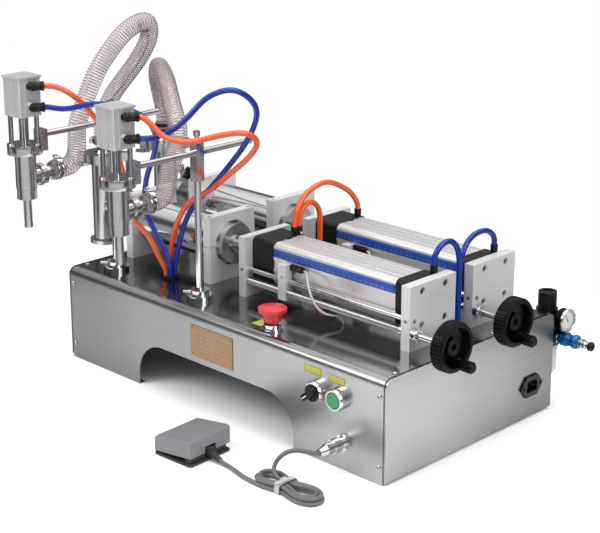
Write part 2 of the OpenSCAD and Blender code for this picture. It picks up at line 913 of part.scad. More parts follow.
module power_inlet() {
    color(black)
        translate([end_x, inlet_y, inlet_z])
            rotate([90, 0, 90]) {
                difference() {
                    union() {
                        linear_extrude(inlet_t)
                            polygon([
                                [-inlet_w / 2, 0], [-inlet_w / 4, inlet_h / 2],
                                [inlet_w / 4, inlet_h / 2], [inlet_w / 2, 0],
                                [inlet_w / 4, -inlet_h / 2], [-inlet_w / 4, -inlet_h / 2]
                            ]);
                        translate([0, 0, -inlet_body_l])
                            linear_extrude(inlet_body_l + eps)
                                square([inlet_body_w, inlet_body_h], center = true);
                    }
                    translate([0, 0, inlet_t - recess_l])
                        linear_extrude(recess_l + 1)
                            inlet_recess();
                    for (s = [-1, 1])
                        translate([s * (inlet_w / 2 - 6), 0, inlet_t - 1.5])
                            cylinder(d = 5, h = 3);
                }
                for (x = [-7, 0, 7])
                    translate([x - 1, x == 0 ? 1 : -3, inlet_t - recess_l - 1])
                        cube([2, 4, recess_l - 2]);
            }
}

module inlet_recess() {
    polygon([[-12, -8], [12, -8], [12, 4], [8, 8], [-8, 8], [-12, 4]]);
}

// Pedal cord: socket and plug on the front, the free cord and the pedal

module cord_plug() {
    color(steel)
        translate([plug_x, front_y, plug_z])
            rotate([90, 0, 0]) {
                cylinder(d = plug_hole_d + 8, h = 2);
                translate([0, 0, -14])
                    cylinder(d = plug_hole_d - 2 * sheet_fit, h = 14 + eps);
                cylinder(d = 15, h = 8);
                translate([0, 0, 8 - eps])
                    cylinder(d = 19, h = 12);
                translate([0, 0, 20 - 2 * eps])
                    cylinder(d = 16, h = 12);
                translate([0, 0, 32 - 3 * eps])
                    cylinder(d1 = 15, d2 = 9, h = plug_l - 32);
            }
}

module pedal_cord_lead() {
    color("gray")
        tube(lead_route, cord_d);
}

module pedal_cord_hank() {
    color("gray")
        translate([hank_x, hank_y, 0])
            linear_extrude(hank_h)
                union() {
                    for (s = [-1, 1])
                        translate([s * (hank_l / 2 - hank_w / 2), 0])
                            circle(d = hank_w);
                    square([hank_l - hank_w, hank_w * 0.62], center = true);
                }
}

module pedal_cord_tail() {
    color("gray")
        tube(tail_route, cord_d);
}

module at_pedal() {
    translate([pedal_x, pedal_y, 0])
        rotate([0, 0, pedal_turn])
            children();
}

// Side outline of the treadle's hood, toe at -x
module hood_side() {
    polygon([
        [-pedal_l / 2, pedal_floor_t + 2.2], [pedal_l / 2, heel_skirt_z],
        [pedal_l / 2, heel_h - 3], [pedal_l / 2 - 3, heel_h],
        [-pedal_l / 2 + 6, toe_h], [-pedal_l / 2, toe_h - 6]
    ]);
}

module pedal_base() {
    color("dimgray")
        at_pedal()
            difference() {
                union() {
                    linear_extrude(pedal_floor_t)
                        rounded_square(pedal_l + 2, pedal_w + 2, 5);
                    translate([pedal_l / 2 - 14, -pedal_w / 2 + pedal_wall + pedal_gap,
                        pedal_floor_t - eps])
                        cube([12 - pedal_wall, pedal_w - 2 * (pedal_wall + pedal_gap), 13]);
                    for (s = [-1, 1])
                        translate([hinge_x - 5,
                            s * (pedal_w / 2 - pedal_wall - pedal_gap - 3) - 3, pedal_floor_t - eps])
                            cube([10, 6, hinge_z]);
                    translate([0, 0, relief_z])
                        rod_x(pedal_l / 2 - 8, relief_l + 4, relief_d);
                }
                translate([hinge_x, 0, hinge_z])
                    rod_y(-pedal_w, 2 * pedal_w, hinge_d + 2 * run_gap);
                translate([pedal_l / 2 - 20, -16, pedal_floor_t])
                    cube([12.5, 32, 8]);
            }
}

module pedal_treadle() {
    color("darkgray")
        at_pedal() {
            difference() {
                rotate([90, 0, 0])
                    linear_extrude(pedal_w, center = true)
                        hood_side();
                rotate([90, 0, 0])
                    linear_extrude(pedal_w - 2 * pedal_wall, center = true)
                        hood_inside();
                translate([pedal_l / 2 - pedal_wall - 1, -relief_d, 0])
                    cube([2 * pedal_wall, 2 * relief_d, heel_slot_z]);
            }
            translate([hinge_x, 0, hinge_z])
                rod_y(-pedal_w / 2 + pedal_wall - eps, pedal_w - 2 * pedal_wall + 2 * eps, hinge_d);
        }
}

module hood_inside() {
    polygon([
        [-pedal_l / 2 + pedal_wall, -1],
        [pedal_l / 2 - pedal_wall, -1],
        [pedal_l / 2 - pedal_wall, heel_h - 3 - pedal_wall],
        [pedal_l / 2 - 4, heel_h - pedal_wall - 0.5],
        [-pedal_l / 2 + 6, toe_h - pedal_wall],
        [-pedal_l / 2 + pedal_wall, toe_h - 6 - pedal_wall]
    ]);
}

// Barrels, their clamps, covers and pistons

module product_barrels() {
    color(steel)
        at_lines()
            difference() {
                rod_x(barrel_left_x, barrel_right_x - barrel_left_x, barrel_od);
                rod_x(barrel_left_x - 1, barrel_right_x - barrel_left_x + 2, barrel_id);
            }
}

module barrel_ends() {
    color(steel)
        at_lines() {
            difference() {
                union() {
                    rod_x(barrel_right_x, gland_t, gland_d);
                    rod_x(barrel_right_x - spigot_l, spigot_l + eps, barrel_id - 2 * run_gap);
                    rod_x(barrel_right_x + gland_t - eps, 4, rod_d + 12);
                }
                rod_x(barrel_right_x - 2 * spigot_l, gland_t + 4 * spigot_l, rod_d + 2 * run_gap);
            }
            difference() {
                union() {
                    rod_x(cover_x, cover_t, cover_d);
                    rod_x(barrel_left_x - eps, spigot_l, barrel_id - 2 * run_gap);
                    rod_x(pipe_clamp_x + ferrule_t - eps, cover_x - pipe_clamp_x - ferrule_t + 1,
                        pipe_d);
                    rod_x(pipe_clamp_x, ferrule_t, ferrule_d);
                }
                rod_x(pipe_clamp_x - 1, barrel_left_x - pipe_clamp_x + 2 * spigot_l, passage_d);
            }
        }
}

module clamp_half(lower) {
    drop = lower ? axis_rise : clamp_rise;
    difference() {
        translate([0, -clamp_w / 2, lower ? -drop : clamp_split / 2])
            cube([clamp_t, clamp_w, drop - clamp_split / 2]);
        rod_x(-1, clamp_t + 2, barrel_od + 2 * run_gap);
        if (!lower)
            for (s = [-1, 1])
                translate([clamp_t / 2, s * bolt_off, clamp_rise - bolt_head_t - 1])
                    cylinder(d = bolt_head_d + 1, h = 2 * bolt_head_t);
    }
}

module barrel_clamps() {
    color(alu)
        at_lines()
            for (x = [clamp_x, right_clamp_x])
                translate([x, 0, 0]) {
                    clamp_half(true);
                    clamp_half(false);
                }
}

// Product piston, rod and air piston on one axis
module piston_set() {
    rod_x(piston_x + piston_l - eps, air_piston_x - piston_x - piston_l + 2 * eps, rod_d);
    difference() {
        rod_x(piston_x, piston_l, barrel_id - 2 * run_gap);
        for (s = [0.25, 0.75])
            translate([piston_x + piston_l * s - 1.5, 0, 0])
                difference() {
                    rod_x(0, 3, barrel_id + 2);
                    rod_x(-1, 5, barrel_id - 3);
                }
    }
    difference() {
        rod_x(air_piston_x, air_piston_l, air_bore - 2 * run_gap);
        translate([air_piston_x + air_piston_l / 2 - 3, 0, 0])
            difference() {
                rod_x(0, 6, air_bore + 2);
                rod_x(-1, 8, air_bore - 4);
            }
    }
}

module front_piston() {
    color(steel) at_line(0) piston_set();
}

module rear_piston() {
    color(steel) at_line(1) piston_set();
}

// Air cylinders

module profile_outline() {
    difference() {
        rounded_square(profile_w, profile_w, 9);
        circle(d = air_bore);
        for (a = [0 : 90 : 270])
            rotate(a)
                translate([profile_w / 2, 0]) {
                    for (s = [-1, 1])
                        translate([0, s * 13])
                            circle(1.6, $fn = 24);
                    square([2.4, 12], center = true);
                }
        translate([-profile_w / 2, profile_w / 2 - scale_top - scale_h / 2])
            square([2 * scale_depth, scale_h], center = true);
    }
}

module air_cylinder_bodies() {
    color(alu)
        at_lines()
            along_x(profile_x, profile_l)
                profile_outline();
}

module end_cap(x, l) {
    along_x(x, l)
        rounded_square(cap_w, cap_w, 8);
}

module air_cylinder_caps() {
    color(black)
        at_lines() {
            difference() {
                end_cap(cap_x, front_cap_l);
                rod_x(cap_x - 1, front_cap_l + 2, rod_d + 2 * run_gap);
            }
            end_cap(rear_cap_x, rear_cap_l);
            translate([profile_x + 1, -profile_w / 2, profile_w / 2 - scale_top - scale_h])
                cube([profile_l - 2, scale_depth, scale_h]);
        }
}

module plate(x, t) {
    translate([x, -plate_front_off, -axis_rise])
        cube([t, plate_w, axis_rise + plate_rise]);
}

module mounting_plates() {
    color(alu)
        at_lines() {
            difference() {
                plate(air_x, front_plate_t);
                rod_x(air_x - 1, front_plate_t + 2, rod_d + 6);
                on_guide()
                    rod_x(cap_x - guide_seat, 2 * guide_seat, guide_d + 2 * run_gap);
                on_screw()
                    rod_x(cap_x - guide_seat, 2 * guide_seat, screw_d + 2 * run_gap);
                at_ties(0)
                    rod_x(air_x - tie_head_t, 2 * tie_head_t + 1, tie_hole_d);
            }
            difference() {
                plate(rear_plate_x, rear_plate_t);
                on_guide()
                    rod_x(rear_plate_x - guide_seat, 2 * guide_seat, guide_d + 2 * run_gap);
                on_screw()
                    rod_x(rear_plate_x - 1, rear_plate_t + 2, screw_d + 2 * run_gap);
                at_ties(0)
                    rod_x(line_end_x - tie_head_t - 1, 2 * tie_head_t, tie_hole_d);
            }
        }
}

// Stroke setting: guide rods, lead screws, sensor slides, handwheels

module guide_rods() {
    color(steel)
        at_lines()
            on_guide()
                rod_x(cap_x - guide_seat, rear_plate_x - cap_x + 2 * guide_seat, guide_d);
}

module at_screw(i) {
    at_line(i)
        on_screw()
            children();
}

module lead_screw() {
    rod_x(cap_x - guide_seat + 1, wheel_x + wheel_t / 2 - cap_x + guide_seat - 1, screw_d);
    rod_x(line_end_x + sheet_fit, 10, screw_d + 8);
    rod_x(rear_plate_x - 6 - sheet_fit, 6, screw_d + 4);
}

module front_lead_screw() {
    color(steel) at_screw(0) lead_screw();
}

module rear_lead_screw() {
    color(steel) at_screw(1) lead_screw();
}

// Half section of the dished handwheel
module wheel_outline() {
    polygon([
        [0, -6], [hub_d / 2, -6], [hub_d / 2, 2],
        [wheel_d / 2 - 9, 5], [wheel_d / 2 - 3, 2], [wheel_d / 2, 5],
        [wheel_d / 2, wheel_t - 3], [wheel_d / 2 - 2, wheel_t],
        [wheel_d / 2 - 7, wheel_t], [wheel_d / 2 - 10, 5 + wheel_web_t],
        [hub_d / 2, 2 + wheel_web_t], [hub_d / 2, wheel_t - 6],
        [0, wheel_t - 6]
    ]);
}

// Handwheel with a ribbed rim, its outer face toward +X
module handwheel() {
    translate([wheel_x, 0, 0])
        rotate([0, 90, 0])
            difference() {
                union() {
                    rotate([0, 0, 90])
                        rotate_extrude($fn = 96)
                            wheel_outline();
                    rotate([0, 0, crank_turn])
                        translate([crank_r, 0, 4])
                            cylinder(d = 15, h = wheel_t - 6);
                }
                for (a = [rib_step / 2 : rib_step : 360])
                    rotate([0, 0, a])
                        translate([wheel_d / 2 + 0.5, 0, -1])
                            cylinder(d = 3, h = wheel_t + 2, $fn = 16);
                translate([0, 0, -7])
                    cylinder(d = screw_d, h = wheel_t + 8);
                rotate([0, 0, crank_turn])
                    translate([crank_r, 0, wheel_t - 12])
                        cylinder(d = crank_pin_d + 2 * run_gap, h = 20);
            }
}

module front_handwheel() {
    color(black) at_screw(0) handwheel();
}

module rear_handwheel() {
    color(black) at_screw(1) handwheel();
}

module crank_handle() {
    translate([wheel_x, 0, 0])
        rotate([0, 90, 0])
            rotate([0, 0, crank_turn])
                translate([crank_r, 0, wheel_t]) {
                    translate([0, 0, -11])
                        cylinder(d = crank_pin_d, h = 11 + sheet_fit + eps);
                    translate([0, 0, sheet_fit])
                        rotate_extrude()
                            polygon([
                                [0, 0], [crank_d / 2 - 2, 0], [crank_d / 2, 8],
                                [crank_d / 2, crank_l - 3], [crank_d / 2 - 3, crank_l],
                                [0, crank_l]
                            ]);
                }
}

module front_crank_handle() {
    color(black) at_screw(0) crank_handle();
}

module rear_crank_handle() {
    color(black) at_screw(1) crank_handle();
}

// Bar that runs on the guide rod and the lead screw, with the switch on its right side
module sensor_slide() {
    difference() {
        translate([slide_x, -slide_front_off, slide_top - axis_z - slide_h])
            cube([slide_w, slide_d, slide_h]);
        on_guide()
            rod_x(slide_x - 1, slide_w + 2, guide_d + 2 * run_gap);
        on_screw()
            rod_x(slide_x - 1, slide_w + 2, screw_d + 2 * run_gap);
        translate([slide_x + slide_w / 2, 0, -screw_drop + 24])
            rod_y(-slide_front_off - 1, 3, 4);
    }
    translate([slide_x + slide_w - eps, sensor_y, slide_top - axis_z - sensor_h])
        cube([sensor_l, sensor_w, sensor_h]);
}

module front_sensor_slide() {
    color(alu) at_line(0) sensor_slide();
}

module rear_sensor_slide() {
    color(alu) at_line(1) sensor_slide();
}

module sensor_cable() {
    tube(cable_route, cable_d);
}

module front_sensor_cable() {
    color("white") at_line(0) sensor_cable();
}

module rear_sensor_cable() {
    color("white") at_line(1) sensor_cable();
}

// Check valves at the left end

module ferrule_clamp() {
    difference() {
        union() {
            cylinder(d = ferrule_clamp_d, h = clamp_ring_t);
            for (s = [0, 1])
                rotate([0, 0, 180 * s])
                    translate([ferrule_clamp_d / 2 - 3, -6, 0])
                        cube([13, 12, clamp_ring_t]);
        }
        translate([0, 0, -1])
            cylinder(d = pipe_d + 3, h = clamp_ring_t + 2);
        translate([0, 0, clamp_ring_t / 2 - ferrule_t - sheet_fit])
            cylinder(d = ferrule_d + 2 * sheet_fit, h = 2 * (ferrule_t + sheet_fit));
    }
    translate([-ferrule_clamp_d / 2 - 5, 0, -8])
        cylinder(d = 6, h = clamp_ring_t + 8);
    translate([-ferrule_clamp_d / 2 - 5, 0, -8])
        linear_extrude(5)
            union() {
                circle(d = 11);
                square([24, 5], center = true);
            }
}

module check_valves() {
    color(steel)
        at_lines()
            translate([valve_x, 0, 0]) {
                difference() {
                    union() {
                        translate([0, 0, suction_z - axis_z])
                            cylinder(d = ferrule_d, h = ferrule_t);
                        translate([0, 0, suction_z - axis_z])
                            cylinder(d = valve_d, h = valve_top_z - suction_z);
                        translate([0, 0, valve_top_z - axis_z])
                            cylinder(d = ferrule_d, h = ferrule_t);
                        rod_x(0, pipe_clamp_x - valve_x, pipe_d);
                        rod_x(pipe_clamp_x - valve_x - ferrule_t, ferrule_t, ferrule_d);
                    }
                    translate([0, 0, suction_z - axis_z - 1])
                        cylinder(d = valve_d - 4, h = 22);
                    translate([0, 0, suction_z - axis_z])
                        cylinder(d = passage_d, h = valve_top_z - suction_z + 20);
                    rod_x(0, pipe_clamp_x - valve_x + 1, passage_d);
                }
                translate([0, 0, suction_z - axis_z + 14])
                    difference() {
                        cylinder(d = valve_d - 3, h = 3);
                        for (a = [0 : 60 : 300])
                            rotate([0, 0, a])
                                translate([10, 0, -1])
                                    cylinder(d = 6, h = 5);
                    }
                translate([0, 0, valve_top_z - axis_z + ferrule_t]) {
                    difference() {
                        union() {
                            cylinder(d = ferrule_d, h = ferrule_t);
                            cylinder(d = barb_d, h = ferrule_t + barb_l);
                            translate([0, 0, ferrule_t - eps])
                                cylinder(d1 = pipe_d, d2 = barb_d - 1, h = 8);
                            for (k = [0 : 2])
                                translate([0, 0, ferrule_t + barb_l - 8 - 8 * k])
                                    cylinder(d1 = barb_d + 2.5, d2 = barb_d - 1, h = 7);
                        }
                        translate([0, 0, -1])
                            cylinder(d = passage_d - 2, h = barb_l + 2 * ferrule_t);
                    }
                }
                translate([0, 0, valve_top_z - axis_z + ferrule_t - clamp_ring_t / 2])
                    rotate([0, 0, 45])
                        ferrule_clamp();
                translate([pipe_clamp_x - valve_x - clamp_ring_t / 2, 0, 0])
                    rotate([0, 90, 0])
                        ferrule_clamp();
            }
}

// Posts, arms and filling heads

module arm_posts() {
    color(steel)
        for (p = [[right_x, 0], [left_x, left_lift]])
            translate([p.x, post_y, cab_h]) {
                cylinder(d = base_d, h = base_h * 0.5);
                cylinder(d = base_d * 0.7, h = base_h);
                cylinder(d = post_d, h = arm_rise + p.y - post_gap);
                rotate([0, 0, 225])
                    translate([0, 0, base_h * 0.72])
                        rod_x(0, base_d / 2 + 4, 5);
            }
}

// Moves from the arm's centre line to the two heads
module at_side(left) {
    translate([left ? left_x : right_x, left ? -left_reach : 0, arm_z + (left ? left_lift : 0)])
        children();
}

module arm(left) {
    block_y = post_y + (left ? left_reach : 0);
    difference() {
        union() {
            difference() {
                translate([-block_w / 2, block_y - block_w / 2, block_rise - block_h])
                    cube([block_w, block_w, block_h]);
                rod_y(block_y - block_w, 2 * block_w, arm_d);
            }
            rod_y(right_arm_y, arm_l, arm_d);
            translate([0, block_y, block_rise])
                cylinder(d = 6, h = 5);
            translate([0, block_y, block_rise + 5])
                cylinder(d = 10, h = 7);
        }
        translate([0, block_y, block_rise - block_h - 1])
            cylinder(d = post_d + 2 * run_gap, h = block_h + 1 - block_rise - arm_d / 2 - 3);
        translate([-block_w, block_y, knob_z])
            rod_x(0, block_w, knob_screw_d + 2 * run_gap);
    }
}

module left_arm() {
    color(alu) at_side(true) arm(true);
}

module right_arm() {
    color(alu) at_side(false) arm(false);
}

// Lobed knob whose screw clamps the post
module clamp_knob(left) {
    translate([-block_w / 2, post_y + (left ? left_reach : 0), knob_z])
        rotate([0, -90, 0]) {
            translate([0, 0, knob_slack - (block_w - post_d) / 2])
                cylinder(d = knob_screw_d, h = (block_w - post_d) / 2 + 5);
            translate([0, 0, 3])
                cylinder(d = 11, h = 5);
            translate([0, 0, 7])
                linear_extrude(7)
                    union() {
                        circle(d = 12);
                        for (a = [0, 120, 240])
                            rotate(a)
                                translate([6, 0])
                                    circle(d = 8);
                    }
        }
}

module left_clamp_knob() {
    color(black) at_side(true) clamp_knob(true);
}

module right_clamp_knob() {
    color(black) at_side(false) clamp_knob(false);
}

module at_head(left) {
    at_side(left)
        translate([0, head_y, 0])
            children();
}

module head_cylinder() {
    translate([0, 0, head_cyl_z])
        difference() {
            union() {
                linear_extrude(head_h)
                    difference() {
                        rounded_square(head_w, head_w, 3);
                        for (a = [0 : 90 : 270])
                            rotate(a)
                                for (s = [-1, 1])
                                    translate([head_w / 2, s * 9])
                                        circle(1.5, $fn = 24);
                    }
                translate([0, 0, head_h - eps])
                    linear_extrude(3)
                        rounded_square(head_w + 3, head_w + 3, 3);
            }
            translate([0, 0, 6])
                cylinder(d = head_bore, h = head_h - 12);
            translate([0, 0, -1])
                cylinder(d = stem_d + 2 * run_gap, h = 12);
        }
    for (z = [elbow_low, elbow_high])
        translate([head_w / 2, 0, head_cyl_z + z]) {
            rod_x(-eps, elbow_off + 4, 9);
            translate([elbow_off, 0, 0])
                rotate([0, 0, elbow_turn])
                    rod_x(0, elbow_l, 11);
        }
}

module left_head_cylinder() {
    color(alu) at_head(true) head_cylinder();
}

module right_head_cylinder() {
    color(alu) at_head(false) head_cylinder();
}

// Flange with the arm's lug behind it and four standoffs on top
module head_frame() {
    difference() {
        union() {
            translate([0, 0, flange_z])
                cylinder(d = flange_d, h = flange_t);
            translate([-9, 0, flange_z])
                cube([18, flange_d / 2 + 9, flange_t]);
            translate([-9, flange_d / 2 - 3, flange_z])
                cube([18, 12, -flange_z + arm_d / 2 + 4]);
        }
        translate([0, 0, flange_z - 1])
            cylinder(d = stem_d + 2 * run_gap, h = flange_t + 2);
        rod_y(head_reach, 40, arm_d + 2 * run_gap);
    }
    for (x = [-1, 1], y = [-1, 1])
        translate([x * standoff_off, y * standoff_off, standoff_z - eps])
            cylinder(d = standoff_d, h = standoff_l + eps);
}

module left_head_frame() {
    color(steel) at_head(true) head_frame();
}

module right_head_frame() {
    color(steel) at_head(false) head_frame();
}

// Nozzle body with its hose inlet, collar and tip
module nozzle_body() {
    difference() {
        union() {
            translate([0, 0, collar_z])
                cylinder(d = nozzle_d, h = nozzle_l);
            translate([0, 0, tip_z])
                cylinder(d = nozzle_d - 1.5, h = collar_l - 0.6);
            translate([0, 0, tip_z + collar_l - 0.6 - eps])
                cylinder(d = nozzle_d - 3, h = 1);
            translate([0, 0, tip_z - tip_l])
                cylinder(d = tip_d, h = tip_l + eps);
            translate([0, 0, -inlet_drop - flange_drop])
                rotate([inlet_tilt, 0, 0]) {
                    rod_y(0, nozzle_d / 2 + 6, 26);
                    rod_y(nozzle_d / 2 + 6 - eps, 8, 32);
                    rod_y(nozzle_d / 2 + 14 - 2 * eps, inlet_len - nozzle_d / 2 - 14, barb_d);
                }
        }
        translate([0, 0, tip_z + 6])
            cylinder(d = nozzle_d - 8, h = collar_l + nozzle_l - 12);
        translate([0, 0, tip_z - tip_l - 1])
            cylinder(d = tip_bore, h = tip_l + 10);
        translate([0, 0, tip_z + 20])
            cylinder(d = stem_d + 2 * run_gap, h = nozzle_l + collar_l);
        translate([0, 0, -inlet_drop - flange_drop])
            rotate([inlet_tilt, 0, 0])
                rod_y(0, 100, passage_d - 4);
    }
}

module left_nozzle_body() {
    color(steel) at_head(true) nozzle_body();
}

module right_nozzle_body() {
    color(steel) at_head(false) nozzle_body();
}

// Stem that shuts the nozzle, with the head's piston on top
module nozzle_stem() {
    stem_z = tip_z + 6 + seat_gap;
    translate([0, 0, stem_z])
        cylinder(d1 = tip_bore, d2 = nozzle_d - 12, h = 4);
    translate([0, 0, stem_z + 4 - eps])
        cylinder(d = nozzle_d - 12, h = 5);
    translate([0, 0, stem_z + 8])
        cylinder(d = stem_d, h = head_cyl_z + 8 - stem_z);
    translate([0, 0, head_cyl_z + 8])
        cylinder(d = head_bore - 2 * run_gap, h = 12);
}

module left_nozzle_stem() {
    color(steel) at_head(true) nozzle_stem();
}

module right_nozzle_stem() {
    color(steel) at_head(false) nozzle_stem();
}

// Hoses and tubes

module left_filling_hose() {
    color("pink")
        tube(left_hose_route, hose_d, 2, 10);
}

module right_filling_hose() {
    color("pink")
        tube(right_hose_route, hose_d, 2, 10);
}

module left_head_tubes() {
    color("orangered")
        tube(left_orange_route, tube_d);
    color("mediumblue")
        tube(left_blue_route, tube_d);
}

module right_head_tubes() {
    color("orangered")
        tube(right_orange_route, tube_d);
    color("mediumblue")
        tube(right_blue_route, tube_d);
}

module cylinder_tubes() {
    color("orangered") {
        tube(orange_loop_route, tube_d);
        tube(orange_feed_route, tube_d);
    }
    color("mediumblue") {
        tube(front_blue_route, tube_d);
        tube(rear_blue_route, tube_d);
    }
}

// Ports on the cylinder caps and the grommets in the top sheet
module air_fittings() {
    color(black) {
        for (i = [0, 1], x = port_xs)
            translate([x, line_ys[i] + port_off, port_top_z - port_h]) {
                cylinder(d = 10, h = port_h / 2);
                for (y = i == 0 && x == port_xs[0] ? [-twin, twin] : [0])
                    translate([0, y, port_h / 2 - 1])
                        cylinder(d = tube_d + 2.5, h = port_h / 2 + 1);
            }
        translate([grommet.x, grommet.y, cab_h])
            cylinder(d = 4 * twin + tube_d - 3, h = grommet_h);
        for (p = feed_holes)
            translate([p.x, p.y, cab_h])
                cylinder(d = tube_d + 4, h = grommet_h);
    }
}

// Air treatment unit behind the back sheet

module at_regulator() {
    translate([reg_x, back_y + reg_off, reg_z])
        children();
}

module regulator_body() {
    color(black)
        at_regulator()
            difference() {
                union() {
                    translate([0, 0, -reg_h / 2])
                        linear_extrude(reg_h)
                            rounded_square(reg_w, reg_w, 5);
                    translate([0, 0, reg_h / 2 - eps])
                        cylinder(d = reg_w - 8, h = 8);
                    translate([-12, -reg_off, -14])
                        cube([24, reg_off - reg_w / 2 + 1, 28]);
                    translate([-reg_w / 2 - 10, 0, reg_port_z])
                        rod_x(0, 11, 16);
                    translate([-reg_w / 2 - 16, 0, reg_port_z]) {
                        sphere(d = 16);
                        rod_y(-reg_off, reg_off, 14);
                    }
                }
                translate([0, 0, reg_h / 2 - 4])
                    cylinder(d = reg_screw_d + 2 * run_gap, h = 20);
            }
}

module filter_bowl() {
    color("lightgray")
        at_regulator()
            translate([0, 0, -reg_h / 2 - bowl_l])
                union() {
                    translate([0, 0, bowl_l - 6])
                        cylinder(d = bowl_d + 4, h = 6);
                    translate([0, 0, 8])
                        cylinder(d = bowl_d, h = bowl_l - 8);
                    cylinder(d1 = bowl_d - 12, d2 = bowl_d, h = 8 + eps);
                    translate([0, 0, -6])
                        cylinder(d = 8, h = 7);
                }
}

module pressure_gauge() {
    color(black)
        at_regulator()
            translate([reg_w / 2, 0, gauge_z]) {
                difference() {
                    rod_x(5, 13, gauge_d);
                    rod_x(16, 3, gauge_d - 3);
                }
                rod_x(0, 6, 11);
                rod_x(15, 2, 2);
                translate([15, 0, 0])
                    rotate([30, 0, 0])
                        translate([0, -0.5, -3])
                            cube([1.5, 1, gauge_d / 2 - 1]);
            }
}

module regulator_knob() {
    color(black)
        at_regulator()
            translate([0, 0, reg_h / 2 + 8 + sheet_fit])
                union() {
                    difference() {
                        cylinder(d = reg_knob_d, h = reg_knob_h);
                        for (a = [0 : 20 : 340])
                            rotate([0, 0, a])
                                translate([reg_knob_d / 2 + 0.4, 0, 3])
                                    cylinder(d = 2.4, h = reg_knob_h - 6, $fn = 16);
                        translate([0, 0, reg_knob_h - 2])
                            cylinder(d = reg_knob_d * 0.62, h = 3);
                    }
                    translate([0, 0, -8])
                        cylinder(d = reg_screw_d, h = 9);
                }
}

module air_inlet_plug() {
    color("steelblue")
        at_regulator()
            translate([reg_w / 2, 0, reg_port_z]) {
                rod_x(0, 6, 16);
                translate([5, 0, 0])
                    rotate([0, 90, 0])
                        rotate_extrude()
                            polygon([
                                [0, 0], [9, 0], [9, 3], [10.5, 5], [10.5, 14], [8.5, 17],
                                [8.5, 22], [10.5, 25], [10.5, 29], [9, 31], [0, 31]
                            ]);
                rod_x(35, 25, plug_d);
                rod_x(41, 4, plug_d + 3);
                rod_x(55, 5, plug_d + 1.5);
            }
}

cabinet_shell();
end_panels();
machine_screws();
nameplate();
estop_base();
estop_button();
button_bezels();
start_button();
selector_knob();
power_inlet();
cord_plug();
pedal_cord_lead();
pedal_cord_hank();
pedal_cord_tail();
pedal_base();
pedal_treadle();
regulator_body();
filter_bowl();
pressure_gauge();
regulator_knob();
air_inlet_plug();
arm_posts();
left_arm();
right_arm();
left_clamp_knob();
right_clamp_knob();
left_head_cylinder();
right_head_cylinder();
left_head_frame();
right_head_frame();
left_nozzle_body();
right_nozzle_body();
left_nozzle_stem();
right_nozzle_stem();
left_head_tubes();
right_head_tubes();
left_filling_hose();
right_filling_hose();
product_barrels();
barrel_ends();
barrel_clamps();
front_piston();
rear_piston();
air_cylinder_bodies();
air_cylinder_caps();
mounting_plates();
guide_rods();
front_lead_screw();
rear_lead_screw();
front_handwheel();
rear_handwheel();
front_crank_handle();
rear_crank_handle();
front_sensor_slide();
rear_sensor_slide();
front_sensor_cable();
rear_sensor_cable();
check_valves();
cylinder_tubes();
air_fittings();
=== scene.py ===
"""Looks and soft pieces of a table-top, two-head piston filler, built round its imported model."""
import json
import math

import bpy
import numpy as np
from mathutils import Matrix, Vector


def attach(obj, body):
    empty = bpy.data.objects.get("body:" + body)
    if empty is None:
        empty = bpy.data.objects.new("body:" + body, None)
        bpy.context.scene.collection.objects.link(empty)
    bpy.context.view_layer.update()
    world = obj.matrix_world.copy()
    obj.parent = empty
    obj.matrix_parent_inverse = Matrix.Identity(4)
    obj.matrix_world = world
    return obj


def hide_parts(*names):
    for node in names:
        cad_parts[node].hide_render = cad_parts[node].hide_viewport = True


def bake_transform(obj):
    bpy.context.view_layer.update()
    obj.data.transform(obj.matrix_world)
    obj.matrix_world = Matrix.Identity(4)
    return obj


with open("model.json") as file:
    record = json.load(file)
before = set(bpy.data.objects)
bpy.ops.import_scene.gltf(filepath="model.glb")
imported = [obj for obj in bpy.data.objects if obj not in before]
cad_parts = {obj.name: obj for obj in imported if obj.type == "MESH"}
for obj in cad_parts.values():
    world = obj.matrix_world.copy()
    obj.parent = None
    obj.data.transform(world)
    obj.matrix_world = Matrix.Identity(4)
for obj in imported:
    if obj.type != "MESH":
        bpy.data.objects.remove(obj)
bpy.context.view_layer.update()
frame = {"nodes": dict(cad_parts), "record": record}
nodes = frame["nodes"]
SCENE = bpy.context.scene
MM = 0.001
PHOTO_W = 600.0

# Camera

CAM_POS_MM = (1487.202, -1506.283, 874.224)
CAM_AZIMUTH = 44.67
CAM_PITCH = 15.929
CAM_FOCAL_PX = 1522.0
CAM_SHIFT_Y = -0.1
SENSOR_MM = 36.0

cam_data = bpy.data.cameras.new("camera")
cam = bpy.data.objects.new("camera", cam_data)
SCENE.collection.objects.link(cam)
SCENE.camera = cam
cam_data.sensor_width = SENSOR_MM
cam_data.lens = CAM_FOCAL_PX / PHOTO_W * SENSOR_MM
cam_data.shift_y = CAM_SHIFT_Y
cam_data.clip_start, cam_data.clip_end = 0.05, 60.0
cam.location = [c * MM for c in CAM_POS_MM]
cam.rotation_euler = (math.radians(90 - CAM_PITCH), 0, math.radians(CAM_AZIMUTH))

# Sizes repeated from the part's source, in mm

